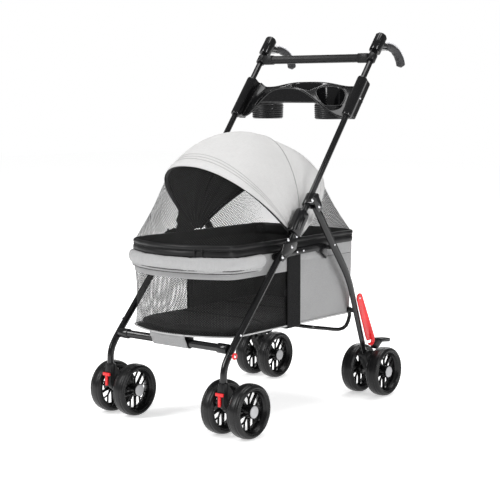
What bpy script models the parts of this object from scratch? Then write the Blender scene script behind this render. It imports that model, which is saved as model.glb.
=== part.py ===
"""Folding four-wheel pet stroller, built as separate named parts.

Metres, +Z up. The stroller faces -Y, and its left side, as its pusher sees it, is at +X.
Side-view points are (y, z) pairs, with y measured back from the front axle line. at() turns them
into world coordinates.
"""

import math

import bmesh
import bpy
from mathutils import Matrix, Vector

OBJECT_NAME = "pet_stroller"

# Row frame: the front axle line lies this far from the middle of the stroller's length.
FRONT_AXLE_Y = -0.3344

GAP = 0.0004
RUNNING_GAP = 0.0006
# How far a cutter runs past the face it opens
OVERSHOOT = 0.01
SIDES = (("left", 1), ("right", -1))

# Running gear
WHEEL_R = 0.0675
TYRE_HALF_WIDTH = 0.020
RIM_R = 0.047
PAIR_HALF_SPACING = 0.0408
FRONT_AXLE = (0.0, WHEEL_R)
REAR_AXLE = (0.597, WHEEL_R)
AXLE_R = 0.004
HUB_BORE_R = AXLE_R + 0.0006
WHEEL_STEPS = 20
FORK_HALF_WIDTH = 0.0105

# Lanes across the width, so that the folding members pass each other
TUBE_X = 0.190
RAIL_X = 0.1755
RAIL_HALF_THICKNESS = 0.003
KNEE_PLATE_X = 0.2012
KNEE_PLATE_HALF_THICKNESS = 0.002
HOOK_X = 0.2068
HOOK_HALF_THICKNESS = 0.0014

# Frame tubes
PUSH_R = 0.008
LEG_R = 0.0088
REAR_LEG_R = 0.0125
REAR_LEG_FLATNESS = 0.56
KNEE = (0.2145, 0.452)
PUSH_ANGLE = math.radians(52.24)
PUSH_END = 0.640
RAIL_FRONT = (0.1725, 0.4225)
RAIL_REAR = (0.388, 0.4305)
REAR_PIVOT = (0.2995, 0.5435)
CASTER_Y = -0.046
STEM_BOTTOM_Z = 0.139
PIVOT_PIN_R = 0.003
PIVOT_HOLE_R = 0.0035

# Distances along the push tube from the knee
SLEEVE_SPAN = (0.030, 0.097)
COLLAR_SPAN = (0.1165, 0.150)
TRAY_CLAMP_SPAN = (0.406, 0.528)
CROSSBAR_AT = 0.601
CAP_SPAN = (0.623, 0.674)
GRIP_ROOT = (0.6430, 0.9600)
CLAMP_R = 0.0125
TUBE_BORE_R = PUSH_R + GAP

# Soft goods
TUB_BOTTOM_Z = 0.2345
RIM_TOP_Z = 0.462
TUB_HALF_WIDTH = 0.167
TUB_FRONT_Y = -0.040
TUB_FRONT_CORNER_Y = 0.012
TUB_REAR_Y = 0.536
TUB_REAR_LEAN = 0.010
TUB_WALL = 0.004
BUMPER_END_Y = 0.135
BUMPER_BULGE = 0.0125
BUMPER_SPAN_Z = (0.387, 0.437)
CANOPY_PIVOT = (0.2715, 0.457)
CANOPY_HALF_WIDTH = 0.1665
BOW_R = 0.0026
PANEL_CLEARANCE = 0.0056
BOWS = {
    "front": (0.298, math.radians(138.0), 2.25),
    "middle": (0.266, math.radians(79.7), 1.95),
    "rear": (0.300, math.radians(35.0), 2.06),
}

# Wheel sections, as radius and distance from the wheel's middle plane
TYRE_TREAD = [(0.0525, 0.0195), (0.0585, TYRE_HALF_WIDTH), (0.0632, 0.0172), (0.0664, 0.0115)]
TYRE_SEAT_HALF_WIDTH = 0.0165
TYRE_CROWN_HALF_WIDTH = 0.006
RIM_HALF_WIDTH = 0.0163
RIM_WEB_HALF_THICKNESS = 0.003
RIM_WEB_R = 0.0432
HUB_R = 0.014
HUB_FACE_R = 0.0125
HUB_FACE = 0.0185
HUB_SHOULDER = 0.0165
HUB_BACK = 0.0145
HUB_BORE_DEPTH = 0.0125
WINDOW_PAIRS = 5
WINDOW_TURN = math.radians(7)
WINDOW_SPREAD = math.radians(15)
WINDOW_LEAN = math.radians(4)
WINDOW_AT_R = 0.0298
WINDOW_SIZE = (0.012, 0.0085, 0.019)

# Casters. A hull is a list of side-view circles: y, z, radius
FORK_HULL = [
    (CASTER_Y, 0.128, 0.0100),
    (CASTER_Y, 0.092, 0.0125),
    (-0.022, 0.074, 0.0130),
    (*FRONT_AXLE, 0.0125),
]
FORK_NECK_R = 0.0125
FORK_NECK_FOOT_Z = 0.100
STEM_R = 0.004
STEM_SPAN_Z = (0.1125, 0.145)
STEM_BORE_R = 0.0046
STEM_BORE_FOOT_Z = 0.108
LEVER_FOOT_Z = 0.083
LEVER_THICKNESS = 0.005
LEVER_STEM = {"middle_z": 0.0965, "width": 0.007, "height": 0.027}
LEVER_HEAD = {"middle_z": 0.1125, "width": 0.024, "height": 0.008}

# Front frame
FRONT_LEG_SKETCH = [
    (0.2010, 0.4428),
    (0.1739, 0.4236),
    (0.1190, 0.3630),
    (0.0640, 0.3020),
    (0.0085, 0.2410),
    (-0.0190, 0.2105),
    (-0.0390, 0.1830),
    (-0.0458, 0.1600),
    (CASTER_Y, STEM_BOTTOM_Z),
]
KNEE_PLATE_HULL = [(*KNEE, 0.0170), (0.188, 0.4500, 0.0130), (*RAIL_FRONT, 0.0095)]
FRONT_CROSSBAR_AT = (-0.0165, 0.2160)
FRONT_CROSSBAR_R = 0.0100
FRONT_SOCKET_R = 0.0128
FRONT_SOCKET_LENGTH = 0.030
STUD_AT = (-0.0255, 0.2030)
STUD_R = 0.0045
STUD_HEAD_R = 0.0080
STUD_LENGTH = 0.009
STUD_HEAD_SPAN = (0.007, 0.011)

# Push handle
PUSH_START = -0.010
SLEEVE_WIDTH = 0.026
SLEEVE_DEPTH = 0.031
SLEEVE_SETBACK = 0.001
COLLAR_R = 0.0122
COLLAR_WEB_X = 0.2075
COLLAR_WEB_SIZE = (0.026, 0.008)
COLLAR_FORWARD = 0.0100
COLLAR_WEB_FORWARD = 0.0105
COVER_X = 0.2195
COVER_HALF_THICKNESS = 0.0015
COVER_FRONT_R = 0.0125
COVER_REAR_R = 0.0130
LEG_PIN_START_X = 0.199
LEG_SEAT_SPAN_X = (0.196, 0.2018)
LEG_SEAT_R = 0.008
CROSSBAR_R = 0.0115
CROSSBAR_FLATNESS = 0.62
CROSSBAR_CLAMP_HALF = 0.010
CROSSBAR_SOCKET_SETIN = 0.026
CROSSBAR_SOCKET_SIZE = (0.034, 0.0185, 0.0265)
CAP_R = 0.0165
CAP_DOME = (0.0164, 0.0164, 0.0110)
CAP_BORE_SPAN = (0.60, PUSH_END - 0.0090)
BOSS_R = 0.0125
BOSS_START_Y = 0.6080
GRIP_SKETCH = [
    (0.6580, 0.9600),
    (0.6750, 0.9588),
    (0.6920, 0.9525),
    (0.7090, 0.9395),
    (0.7210, 0.9230),
    (0.7265, 0.9045),
]
GRIP_R = 0.0118
GRIP_TAPER = 0.0012

# Parent tray
TRAY_END_X = 0.1765
TRAY_FRONT_Y = 0.452
TRAY_REAR_Y = 0.560
TRAY_FLOOR_Z = 0.8075
TRAY_FLOOR_DROP = 0.034
TRAY_LIP_Z = 0.790
TRAY_LIP_ARCH = 0.056
TRAY_REAR_LIP_Z = 0.838
TRAY_REAR_LIP_ARCH = 0.024
TRAY_WALL = 0.0035
TRAY_CLAMP_R = 0.0140
CUP_X = 0.108
CUP_Y = 0.507
CUP_R = 0.0415
CUP_SPAN_Z = (0.762, 0.812)

# Rear legs, which lean in from the collars to the wheels
REAR_LEG_FOOT = {"x": 0.1907, "z": 0.12}
REAR_LEG_HEAD = {"x": 0.2095, "z": 0.55}
REAR_LEG_SKETCH = [
    (0.2975, 0.5463),
    (0.3500, 0.4810),
    (0.4000, 0.4200),
    (0.4480, 0.3620),
    (0.4735, 0.3220),
    (0.4900, 0.2850),
    (0.5240, 0.2060),
    (0.5600, 0.1220),
]
REAR_SOCKET_END = (0.5680, 0.1030)
REAR_LEG_TAPER = 0.0028
HOUSING_HULL = [(*REAR_AXLE, 0.0150), (0.5640, 0.1130, 0.0140), (0.5990, 0.1060, 0.0110)]
HOUSING_HALF_WIDTH = 0.0120
LOWER_BAR_SKETCH = [
    (0.1720, 0.5110, 0.2520),
    (0.1720, 0.5130, 0.2280),
    (0.1700, 0.5000, 0.2020),
    (0.1660, 0.4700, 0.1950),
    (0.1600, 0.4200, 0.2040),
    (0.1480, 0.3800, 0.2110),
    (0.1200, 0.3640, 0.2140),
    (0.0600, 0.3600, 0.2150),
]
LOWER_BAR_R = 0.0052
LOWER_BAR_LUG_AT = (0.5095, 0.2450)
LOWER_BAR_LUG_R = 0.0065
LOWER_BAR_LUG_X = 0.1695
PEDAL_HINGE = (0.6120, 0.1300)
PEDAL_ARM_HULL = [(*PEDAL_HINGE, 0.0065), (0.634, 0.1440, 0.0055)]
PEDAL_PAD_HULL = [(0.632, 0.1460, 0.0050), (0.668, 0.1420, 0.0055)]
PEDAL_ARM_HALF_WIDTH = 0.009
PEDAL_PAD_HALF_WIDTH = 0.0125
LATCH_PIVOT = (0.5100, 0.2810)
LATCH_EYE = (0.5660, 0.1540)
LATCH_EYE_R = 0.0050
LATCH_HULL = [(*LATCH_PIVOT, 0.0115), (0.5585, 0.1745, 0.0135), (0.5700, 0.1545, 0.0145)]
LATCH_MOUTH_AT = (0.5500, 0.1530)
LATCH_MOUTH_SIZE = (0.020, 0.032, 0.008)

# Side rails
RAIL_FRONT_HULL = [(*RAIL_FRONT, 0.0085), (0.255, 0.4275, 0.0085)]
RAIL_REAR_HULL = [(0.255, 0.4275, 0.0080), (*RAIL_REAR, 0.0080)]
RAIL_BRACKET_HULL = [(0.355, 0.4290, 0.0080), (*RAIL_REAR, 0.0080), (0.392, 0.4060, 0.0080)]
RAIL_PIN_END_X = 0.2050
RAIL_HEAD_SPAN_X = (0.2036, 0.2056)
RAIL_HEAD_R = 0.0055
RAIL_BOSS_END_X = 0.1955
RAIL_BOSS_R = 0.0065

FINISHES = {
    "black_tube": ((0.012, 0.012, 0.013), 0.28, 0.6),
    "black_plastic": ((0.014, 0.014, 0.015), 0.35, 0.0),
    "gloss_plastic": ((0.016, 0.016, 0.017), 0.18, 0.0),
    "tyre_rubber": ((0.020, 0.020, 0.022), 0.60, 0.0),
    "rim_plastic": ((0.010, 0.010, 0.011), 0.30, 0.0),
    "red_plastic": ((0.62, 0.015, 0.02), 0.35, 0.0),
    "grip_foam": ((0.025, 0.025, 0.027), 0.75, 0.0),
    "steel": ((0.60, 0.60, 0.62), 0.25, 1.0),
    "grey_fabric": ((0.36, 0.36, 0.365), 0.85, 0.0),
    "pale_fabric": ((0.62, 0.62, 0.625), 0.80, 0.0),
    "black_fabric": ((0.015, 0.015, 0.016), 0.85, 0.0),
    "black_mesh": ((0.03, 0.03, 0.03), 0.70, 0.0),
}


def at(x, point):
    """World position of a side-view (y, z) point at the given x."""
    return Vector((x, point[0] + FRONT_AXLE_Y, point[1]))


def along_push(distance, offset=0.0):
    """Side-view point at a distance up the push tube from the knee, offset to its rear side."""
    y = KNEE[0] + distance * math.cos(PUSH_ANGLE) + offset * math.sin(PUSH_ANGLE)
    z = KNEE[1] + distance * math.sin(PUSH_ANGLE) - offset * math.cos(PUSH_ANGLE)
    return (y, z)


def clear_scene():
    for old in list(bpy.data.objects):
        bpy.data.objects.remove(old, do_unlink=True)


def make_collection():
    collection = bpy.data.collections.new(OBJECT_NAME)
    bpy.context.scene.collection.children.link(collection)
    return collection


def make_finishes():
    made = {}
    for name, (colour, roughness, metallic) in FINISHES.items():
        material = bpy.data.materials.new(name)
        material.use_nodes = True
        shader = material.node_tree.nodes["Principled BSDF"]
        shader.inputs["Base Color"].default_value = (*colour, 1.0)
        shader.inputs["Roughness"].default_value = roughness
        shader.inputs["Metallic"].default_value = metallic
        made[name] = material
    return made


# ---------------------------------------------------------------- shape helpers


def new_object(name, mesh):
    obj = bpy.data.objects.new(name, mesh)
    PARTS.objects.link(obj)
    return obj


def from_bmesh(name, bm):
    mesh = bpy.data.meshes.new(name)
    bmesh.ops.recalc_face_normals(bm, faces=bm.faces)
    bm.to_mesh(mesh)
    bm.free()
    return new_object(name, mesh)


def bake(obj):
    """Replaces an object by a plain mesh of what its modifiers or its curve make, caps welded."""
    bpy.context.view_layer.update()
    evaluated = obj.evaluated_get(bpy.context.evaluated_depsgraph_get())
    mesh = bpy.data.meshes.new_from_object(evaluated)
    name = obj.name
    matrix = obj.matrix_world.copy()
    bpy.data.objects.remove(obj)
    bm = bmesh.new()
    bm.from_mesh(mesh)
    bmesh.ops.remove_doubles(bm, verts=bm.verts, dist=0.000002)
    bmesh.ops.recalc_face_normals(bm, faces=bm.faces)
    bm.to_mesh(mesh)
    bm.free()
    baked = new_object(name, mesh)
    baked.matrix_world = matrix
    return baked


def smooth_path(points, steps=4):
    """Points read from a smooth curve (Catmull-Rom) through the given ones."""
    ends = [points[0] * 2 - points[1], *points, points[-1] * 2 - points[-2]]
    path = []
    for i in range(1, len(ends) - 2):
        before, here, there, after = ends[i - 1 : i + 3]
        for step in range(steps):
            t = step / steps
            path.append(
                0.5
                * (
                    2 * here
                    + (there - before) * t
                    + (2 * before - 5 * here + 4 * there - after) * t**2
                    + (3 * here - before - 3 * there + after) * t**3
                )
            )
    path.append(points[-1])
    return path


def tube(name, points, radius, resolution=3, radii=None):
    """A capped tube along world points."""
    curve = bpy.data.curves.new(name, "CURVE")
    curve.dimensions = "3D"
    curve.bevel_depth = radius
    curve.bevel_resolution = resolution
    curve.use_fill_caps = True
    spline = curve.splines.new("POLY")
    spline.points.add(len(points) - 1)
    for i, point in enumerate(points):
        spline.points[i].co = (*point, 1.0)
        spline.points[i].radius = radii[i] / radius if radii else 1.0
    return bake(new_object(name, curve))


def rod(name, start, end, radius, segments=16):
    """A solid cylinder between two world points."""
    bm = bmesh.new()
    direction = end - start
    turn = direction.to_track_quat("Z", "Y").to_matrix().to_4x4()
    bmesh.ops.create_cone(
        bm,
        cap_ends=True,
        segments=segments,
        radius1=radius,
        radius2=radius,
        depth=direction.length,
        matrix=Matrix.Translation((start + end) / 2) @ turn,
    )
    return from_bmesh(name, bm)


def cross_rod(name, x_from, x_to, point, radius, segments=12):
    """A cylinder along X at a side-view point."""
    return rod(name, at(x_from, point), at(x_to, point), radius, segments)


def cross_hole(x, point, radius):
    """A cutter along X, long enough to pass through any one member at x."""
    return cross_rod("hole", x - 2 * OVERSHOOT, x + 2 * OVERSHOOT, point, radius)


def box(name, centre, size, turn=None, bevel=0.0):
    bm = bmesh.new()
    matrix = Matrix.Translation(centre) @ (turn or Matrix()) @ Matrix.Diagonal((*size, 1.0))
    bmesh.ops.create_cube(bm, size=1.0, matrix=matrix)
    if bevel:
        bmesh.ops.bevel(
            bm, geom=bm.edges[:], offset=bevel, segments=2, profile=0.5, affect="EDGES"
        )
    return from_bmesh(name, bm)


def hull_outline(circles, steps=14):
    """The outline round a set of (y, z, radius) circles, as points in order."""
    points = []
    for y, z, radius in circles:
        for i in range(steps):
            angle = 2 * math.pi * i / steps
            points.append((y + radius * math.cos(angle), z + radius * math.sin(angle)))
    points = sorted(set(points))

    def half(ordered):
        chain = []
        for point in ordered:
            while len(chain) > 1 and cross(chain[-2], chain[-1], point) <= 1e-9:
                chain.pop()
            chain.append(point)
        return chain[:-1]

    return half(points) + half(points[::-1])


def cross(a, b, c):
    return (b[0] - a[0]) * (c[1] - a[1]) - (b[1] - a[1]) * (c[0] - a[0])


def flat_plate(name, outline, x, half_thickness):
    """A side-view outline extruded across X."""
    curve = bpy.data.curves.new(name, "CURVE")
    curve.dimensions = "2D"
    curve.fill_mode = "BOTH"
    curve.extrude = half_thickness
    spline = curve.splines.new("POLY")
    spline.use_cyclic_u = True
    spline.points.add(len(outline) - 1)
    for i, (y, z) in enumerate(outline):
        spline.points[i].co = (y, z, 0.0, 1.0)
    plate = new_object(name, curve)
    stand = Matrix(((0, 0, 1), (1, 0, 0), (0, 1, 0))).to_4x4()
    plate.matrix_world = Matrix.Translation((x, FRONT_AXLE_Y, 0.0)) @ stand
    return bake(plate)


def turned(name, profile, steps, centre, outward):
    """A profile of (radius, width) points turned about X; outward is +1 or -1 for its face side."""
    bm = bmesh.new()
    rows = [bm.verts.new((radius, 0.0, width)) for radius, width in profile]
    for a, b in zip(rows, rows[1:]):
        bm.edges.new((a, b))
    if profile[0][0] > 0:
        bm.edges.new((rows[-1], rows[0]))
    mesh = bpy.data.meshes.new(name)
    bm.to_mesh(mesh)
    bm.free()
    obj = new_object(name, mesh)
    screw = obj.modifiers.new("turn", "SCREW")
    screw.steps = steps
    screw.render_steps = steps
    screw.use_merge_vertices = True
    screw.merge_threshold = 0.0001
    screw.use_normal_calculate = True
    lay = Matrix.Rotation(outward * math.pi / 2, 4, "Y")
    obj.matrix_world = Matrix.Translation(centre) @ lay
    return bake(obj)


def combine(target, tool, operation):
    """Boolean of target by tool, applied at once. The tool is removed."""
    modifier = target.modifiers.new("combine", "BOOLEAN")
    modifier.operation = operation
    modifier.object = tool
    modifier.solver = "EXACT"
    result = bake(target)
    bpy.data.objects.remove(tool)
    return result


def join(target, *tools):
    for tool in tools:
        target = combine(target, tool, "UNION")
    return target


def cut(target, *tools):
    for tool in tools:
        target = combine(target, tool, "DIFFERENCE")
    return target


def finish(obj, finish_name, parent=None, smooth=True):
    """Gives a part its material, its shading and its place in the motion tree."""
    obj.data.materials.clear()
    obj.data.materials.append(MATERIALS[finish_name])
    for polygon in obj.data.polygons:
        polygon.use_smooth = smooth
    if parent is not None:
        bpy.context.view_layer.update()
        obj.parent = parent
        obj.matrix_parent_inverse = parent.matrix_world.inverted()
    return obj


def pivot(name, position, parent=None):
    """An empty on a joint's axis."""
    empty = bpy.data.objects.new(name, None)
    empty.empty_display_size = 0.03
    PARTS.objects.link(empty)
    empty.location = position
    bpy.context.view_layer.update()
    if parent is not None:
        empty.parent = parent
        empty.matrix_parent_inverse = parent.matrix_world.inverted()
        bpy.context.view_layer.update()
    return empty


# ---------------------------------------------------------------- wheels and casters


def tyre_profile():
    tread = [(RIM_R + GAP, TYRE_SEAT_HALF_WIDTH), *TYRE_TREAD, (WHEEL_R, TYRE_CROWN_HALF_WIDTH)]
    return tread + [(radius, -width) for radius, width in tread[::-1]]


def rim_profile():
    return [
        (0.0, HUB_FACE),
        (HUB_FACE_R, HUB_FACE),
        (HUB_R, HUB_SHOULDER),
        (HUB_R, RIM_WEB_HALF_THICKNESS),
        (RIM_WEB_R, RIM_WEB_HALF_THICKNESS),
        (RIM_WEB_R, RIM_HALF_WIDTH),
        (RIM_R, RIM_HALF_WIDTH),
        (RIM_R, -RIM_HALF_WIDTH),
        (RIM_WEB_R, -RIM_HALF_WIDTH),
        (RIM_WEB_R, -RIM_WEB_HALF_THICKNESS),
        (HUB_R, -RIM_WEB_HALF_THICKNESS),
        (HUB_R, -HUB_BACK),
        (HUB_BORE_R, -HUB_BACK),
        (HUB_BORE_R, HUB_BORE_DEPTH),
        (0.0, HUB_BORE_DEPTH),
    ]


def rim_windows(centre):
    """Slots in leaning pairs, which leave paired spokes."""
    bm = bmesh.new()
    for pair in range(WINDOW_PAIRS):
        for lean in (-1, 1):
            angle = 2 * math.pi * pair / WINDOW_PAIRS + WINDOW_TURN + lean * WINDOW_SPREAD
            turn = Matrix.Rotation(angle, 4, "X")
            tilt = Matrix.Rotation(-lean * WINDOW_LEAN, 4, "X")
            outward = Matrix.Translation((0, 0, WINDOW_AT_R))
            place = Matrix.Translation(centre) @ turn @ outward @ tilt
            slot = Matrix.Diagonal((*WINDOW_SIZE, 1.0))
            bmesh.ops.create_cube(bm, size=1.0, matrix=place @ slot)
    return from_bmesh("rim_windows", bm)


def build_wheel(name, x, axle, outward, parent):
    """A wheel turns about its axle. outward is the X side that its hub cap faces."""
    centre = at(x, axle)
    spin = pivot(f"{name}_spin", centre, parent)
    tyre = turned(f"{name}_tyre", tyre_profile(), WHEEL_STEPS, centre, 1)
    finish(tyre, "tyre_rubber", spin)
    rim = turned(f"{name}_rim", rim_profile(), WHEEL_STEPS, centre, outward)
    rim = cut(rim, rim_windows(centre))
    finish(rim, "rim_plastic", spin, smooth=False)


def build_wheel_pair(prefix, side_name, side, axle, parent):
    for place, lean in (("outer", 1), ("inner", -1)):
        x = side * (TUBE_X + lean * PAIR_HALF_SPACING)
        build_wheel(f"{prefix}_wheel_{side_name}_{place}", x, axle, side * lean, parent)


def axle_rod(side, axle):
    """The axle through a housing, as long as both hubs need."""
    reach = PAIR_HALF_SPACING + HUB_BORE_DEPTH - 0.0005
    return cross_rod("axle", side * TUBE_X - reach, side * TUBE_X + reach, axle, AXLE_R)


def build_caster(side_name, side):
    x = side * TUBE_X
    swivel = pivot(f"caster_{side_name}_swivel", at(x, (CASTER_Y, STEM_BOTTOM_Z)))
    fork = flat_plate(f"caster_fork_{side_name}", hull_outline(FORK_HULL), x, FORK_HALF_WIDTH)
    top = STEM_BOTTOM_Z - RUNNING_GAP
    neck = rod("neck", at(x, (CASTER_Y, FORK_NECK_FOOT_Z)), at(x, (CASTER_Y, top)), FORK_NECK_R)
    fork = join(fork, neck, axle_rod(side, FRONT_AXLE))
    bore_foot = at(x, (CASTER_Y, STEM_BORE_FOOT_Z))
    bore_top = at(x, (CASTER_Y, top + OVERSHOOT))
    fork = cut(fork, rod("stem_bore", bore_foot, bore_top, STEM_BORE_R))
    finish(fork, "black_plastic", swivel, smooth=False)
    build_caster_lever(side_name, x, swivel)
    build_wheel_pair("front", side_name, side, FRONT_AXLE, swivel)


def lever_bar(name, x, y, sizes):
    """One bar of the T-shaped lever, which lies in the plane that faces forward."""
    centre = at(x, (y, sizes["middle_z"]))
    return box(name, centre, (sizes["width"], LEVER_THICKNESS, sizes["height"]), bevel=0.001)


def build_caster_lever(side_name, x, swivel):
    """Red T-shaped lever that locks the caster straight. It tips forward about its foot."""
    face_y = CASTER_Y - FORK_NECK_R - GAP - LEVER_THICKNESS / 2
    hinge = pivot(f"caster_lever_{side_name}_hinge", at(x, (face_y, LEVER_FOOT_Z)), swivel)
    stem = lever_bar("stem", x, face_y, LEVER_STEM)
    lever = lever_bar(f"caster_lever_{side_name}", x, face_y, LEVER_HEAD)
    finish(join(lever, stem), "red_plastic", hinge)


# ---------------------------------------------------------------- front frame


def front_leg_path(x):
    return smooth_path([at(x, point) for point in FRONT_LEG_SKETCH], 2)


def build_front_leg(side_name, side):
    x = side * TUBE_X
    leg = tube(f"front_leg_{side_name}", front_leg_path(x), LEG_R)
    foot, top = (at(x, (CASTER_Y, z)) for z in STEM_SPAN_Z)
    leg = join(leg, rod("stem", foot, top, STEM_R))
    leg = cut(leg, cross_hole(x, RAIL_FRONT, PIVOT_HOLE_R))
    finish(leg, "black_tube")


def build_knee_plate(side_name, side):
    """Outer plate of the fold knee, with the pin that the push tube turns on."""
    x = side * KNEE_PLATE_X
    outline = hull_outline(KNEE_PLATE_HULL)
    plate = flat_plate(f"knee_plate_{side_name}", outline, x, KNEE_PLATE_HALF_THICKNESS)
    pin = cross_rod("pin", side * (TUBE_X - PUSH_R - GAP), x, KNEE, PIVOT_PIN_R)
    plate = join(plate, pin)
    plate = cut(plate, cross_hole(x, RAIL_FRONT, PIVOT_HOLE_R))
    finish(plate, "gloss_plastic", smooth=False)


def build_front_crossbar():
    reach = TUBE_X - LEG_R - RUNNING_GAP
    bar = cross_rod("front_crossbar", -reach, reach, FRONT_CROSSBAR_AT, FRONT_CROSSBAR_R, 20)
    for side in (1, -1):
        start = side * (reach - FRONT_SOCKET_LENGTH)
        socket = cross_rod("socket", start, side * reach, FRONT_CROSSBAR_AT, FRONT_SOCKET_R, 20)
        bar = join(bar, socket)
    finish(bar, "black_tube")


def build_latch_stud():
    """Red stud on the left front leg, which the fold latch hooks."""
    root = TUBE_X + LEG_R + GAP
    head_start, head_end = STUD_HEAD_SPAN
    stud = cross_rod("fold_latch_stud", root, root + STUD_LENGTH, STUD_AT, STUD_R)
    head = cross_rod("head", root + head_start, root + head_end, STUD_AT, STUD_HEAD_R)
    finish(join(stud, head), "red_plastic")


# ---------------------------------------------------------------- push handle


def build_push_tube(side_name, side, handle):
    x = side * TUBE_X
    start = at(x, along_push(PUSH_START))
    stick = rod(f"push_tube_{side_name}", start, at(x, along_push(PUSH_END)), PUSH_R)
    stick = cut(stick, cross_hole(x, KNEE, PIVOT_HOLE_R))
    finish(stick, "black_tube", handle)


def push_clamp(name, side, span, radius):
    """A cylinder round a push tube between two distances from the knee."""
    x = side * TUBE_X
    return rod(name, at(x, along_push(span[0])), at(x, along_push(span[1])), radius, 20)


def push_bore(side, span):
    reach = (span[0] - OVERSHOOT, span[1] + OVERSHOOT)
    return push_clamp("bore", side, reach, TUBE_BORE_R)


def push_turn():
    """Rotation that lays +Z along the push tube."""
    return Matrix.Rotation(PUSH_ANGLE - math.pi / 2, 4, "X")


def build_lock_sleeve(side_name, side, handle):
    """Sliding housing that locks the knee. It lifts along the push tube."""
    x = side * TUBE_X
    middle = (SLEEVE_SPAN[0] + SLEEVE_SPAN[1]) / 2
    length = SLEEVE_SPAN[1] - SLEEVE_SPAN[0]
    slide = pivot(f"lock_sleeve_{side_name}_slide", at(x, along_push(middle)), handle)
    body = box(
        f"lock_sleeve_{side_name}",
        at(x, along_push(middle, SLEEVE_SETBACK)),
        (SLEEVE_WIDTH, SLEEVE_DEPTH, length),
        turn=push_turn(),
        bevel=0.006,
    )
    finish(cut(body, push_bore(side, SLEEVE_SPAN)), "gloss_plastic", slide)


def collar_web(side):
    """Block from the collar out to its cover."""
    middle = (COLLAR_SPAN[0] + COLLAR_SPAN[1]) / 2
    length = COLLAR_SPAN[1] - COLLAR_SPAN[0] - 2 * COVER_HALF_THICKNESS
    centre = at(side * COLLAR_WEB_X, along_push(middle, -COLLAR_WEB_FORWARD))
    return box("web", centre, (*COLLAR_WEB_SIZE, length), turn=push_turn())


def build_leg_collar(side_name, side, handle):
    """Bracket clamped on the push tube, with the pin that the rear leg hangs on."""
    collar = push_clamp(f"leg_collar_{side_name}", side, COLLAR_SPAN, COLLAR_R)
    front = along_push((COLLAR_SPAN[0] + COLLAR_SPAN[1]) / 2, -COLLAR_FORWARD)
    outline = hull_outline([(*front, COVER_FRONT_R), (*REAR_PIVOT, COVER_REAR_R)])
    cover = flat_plate("cover", outline, side * COVER_X, COVER_HALF_THICKNESS)
    pin = cross_rod("pin", side * LEG_PIN_START_X, side * COVER_X, REAR_PIVOT, PIVOT_PIN_R)
    seat_start, seat_end = (side * x for x in LEG_SEAT_SPAN_X)
    seat = cross_rod("seat", seat_start, seat_end, REAR_PIVOT, LEG_SEAT_R)
    collar = join(collar, collar_web(side), cover, seat, pin)
    collar = cut(collar, push_bore(side, COLLAR_SPAN))
    finish(collar, "gloss_plastic", handle, smooth=False)


def build_handle_crossbar(handle):
    level = along_push(CROSSBAR_AT)
    span = (CROSSBAR_AT - CROSSBAR_CLAMP_HALF, CROSSBAR_AT + CROSSBAR_CLAMP_HALF)
    reach = TUBE_X - 0.006
    bar = cross_rod("handle_crossbar", -reach, reach, level, CROSSBAR_R, 24)
    flatten = Matrix.Translation(at(0, level)) @ Matrix.Diagonal((1, CROSSBAR_FLATNESS, 1, 1))
    bar.data.transform(flatten @ Matrix.Translation(-at(0, level)))
    for side in (1, -1):
        clamp = push_clamp("clamp", side, span, CLAMP_R)
        socket_at = at(side * (TUBE_X - CROSSBAR_SOCKET_SETIN), level)
        socket = box("socket", socket_at, CROSSBAR_SOCKET_SIZE, bevel=0.003)
        bar = cut(join(bar, socket, clamp), push_bore(side, span))
    finish(bar, "black_plastic", handle, smooth=False)


def cap_dome(x):
    dome = bmesh.new()
    top = Matrix.Translation(at(x, along_push(CAP_SPAN[1] - 0.001)))
    squash = Matrix.Diagonal((*CAP_DOME, 1.0))
    bmesh.ops.create_uvsphere(
        dome, u_segments=16, v_segments=8, radius=1.0, matrix=top @ push_turn() @ squash
    )
    return from_bmesh("dome", dome)


def build_end_cap(side_name, side, handle):
    """Domed housing on top of a push tube, with a boss for the grip."""
    x = side * TUBE_X
    cap = push_clamp(f"end_cap_{side_name}", side, CAP_SPAN, CAP_R)
    boss = rod("boss", at(x, (BOSS_START_Y, GRIP_ROOT[1])), at(x, GRIP_ROOT), BOSS_R)
    cap = cut(join(cap, cap_dome(x), boss), push_bore(side, CAP_BORE_SPAN))
    finish(cap, "gloss_plastic", handle)


def build_grip(side_name, side, handle):
    """Curved pistol grip that hangs back and down from the cap."""
    start = (GRIP_ROOT[0] + GAP, GRIP_ROOT[1])
    path = smooth_path([at(side * TUBE_X, point) for point in [start, *GRIP_SKETCH]], 3)
    radii = [GRIP_R - GRIP_TAPER * i / (len(path) - 1) for i in range(len(path))]
    finish(tube(f"grip_{side_name}", path, GRIP_R, radii=radii), "grip_foam", handle)


# ---------------------------------------------------------------- parent tray


def tray_section(x):
    """Front lip top, floor front, floor rear and rear lip top of the tray at x."""
    share = abs(x) / TRAY_END_X
    arch = math.cos(share * math.pi / 2)
    floor_z = TRAY_FLOOR_Z - TRAY_FLOOR_DROP * share**3
    lip_z = TRAY_LIP_Z + TRAY_LIP_ARCH * arch**1.2
    rear_z = TRAY_REAR_LIP_Z + TRAY_REAR_LIP_ARCH * arch
    front_y = TRAY_FRONT_Y + 0.006 * share**2
    return (
        at(x, (front_y, lip_z)),
        at(x, (front_y + 0.010, floor_z)),
        at(x, (TRAY_REAR_Y - 0.006, floor_z + 0.004)),
        at(x, (TRAY_REAR_Y, rear_z)),
    )


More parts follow.
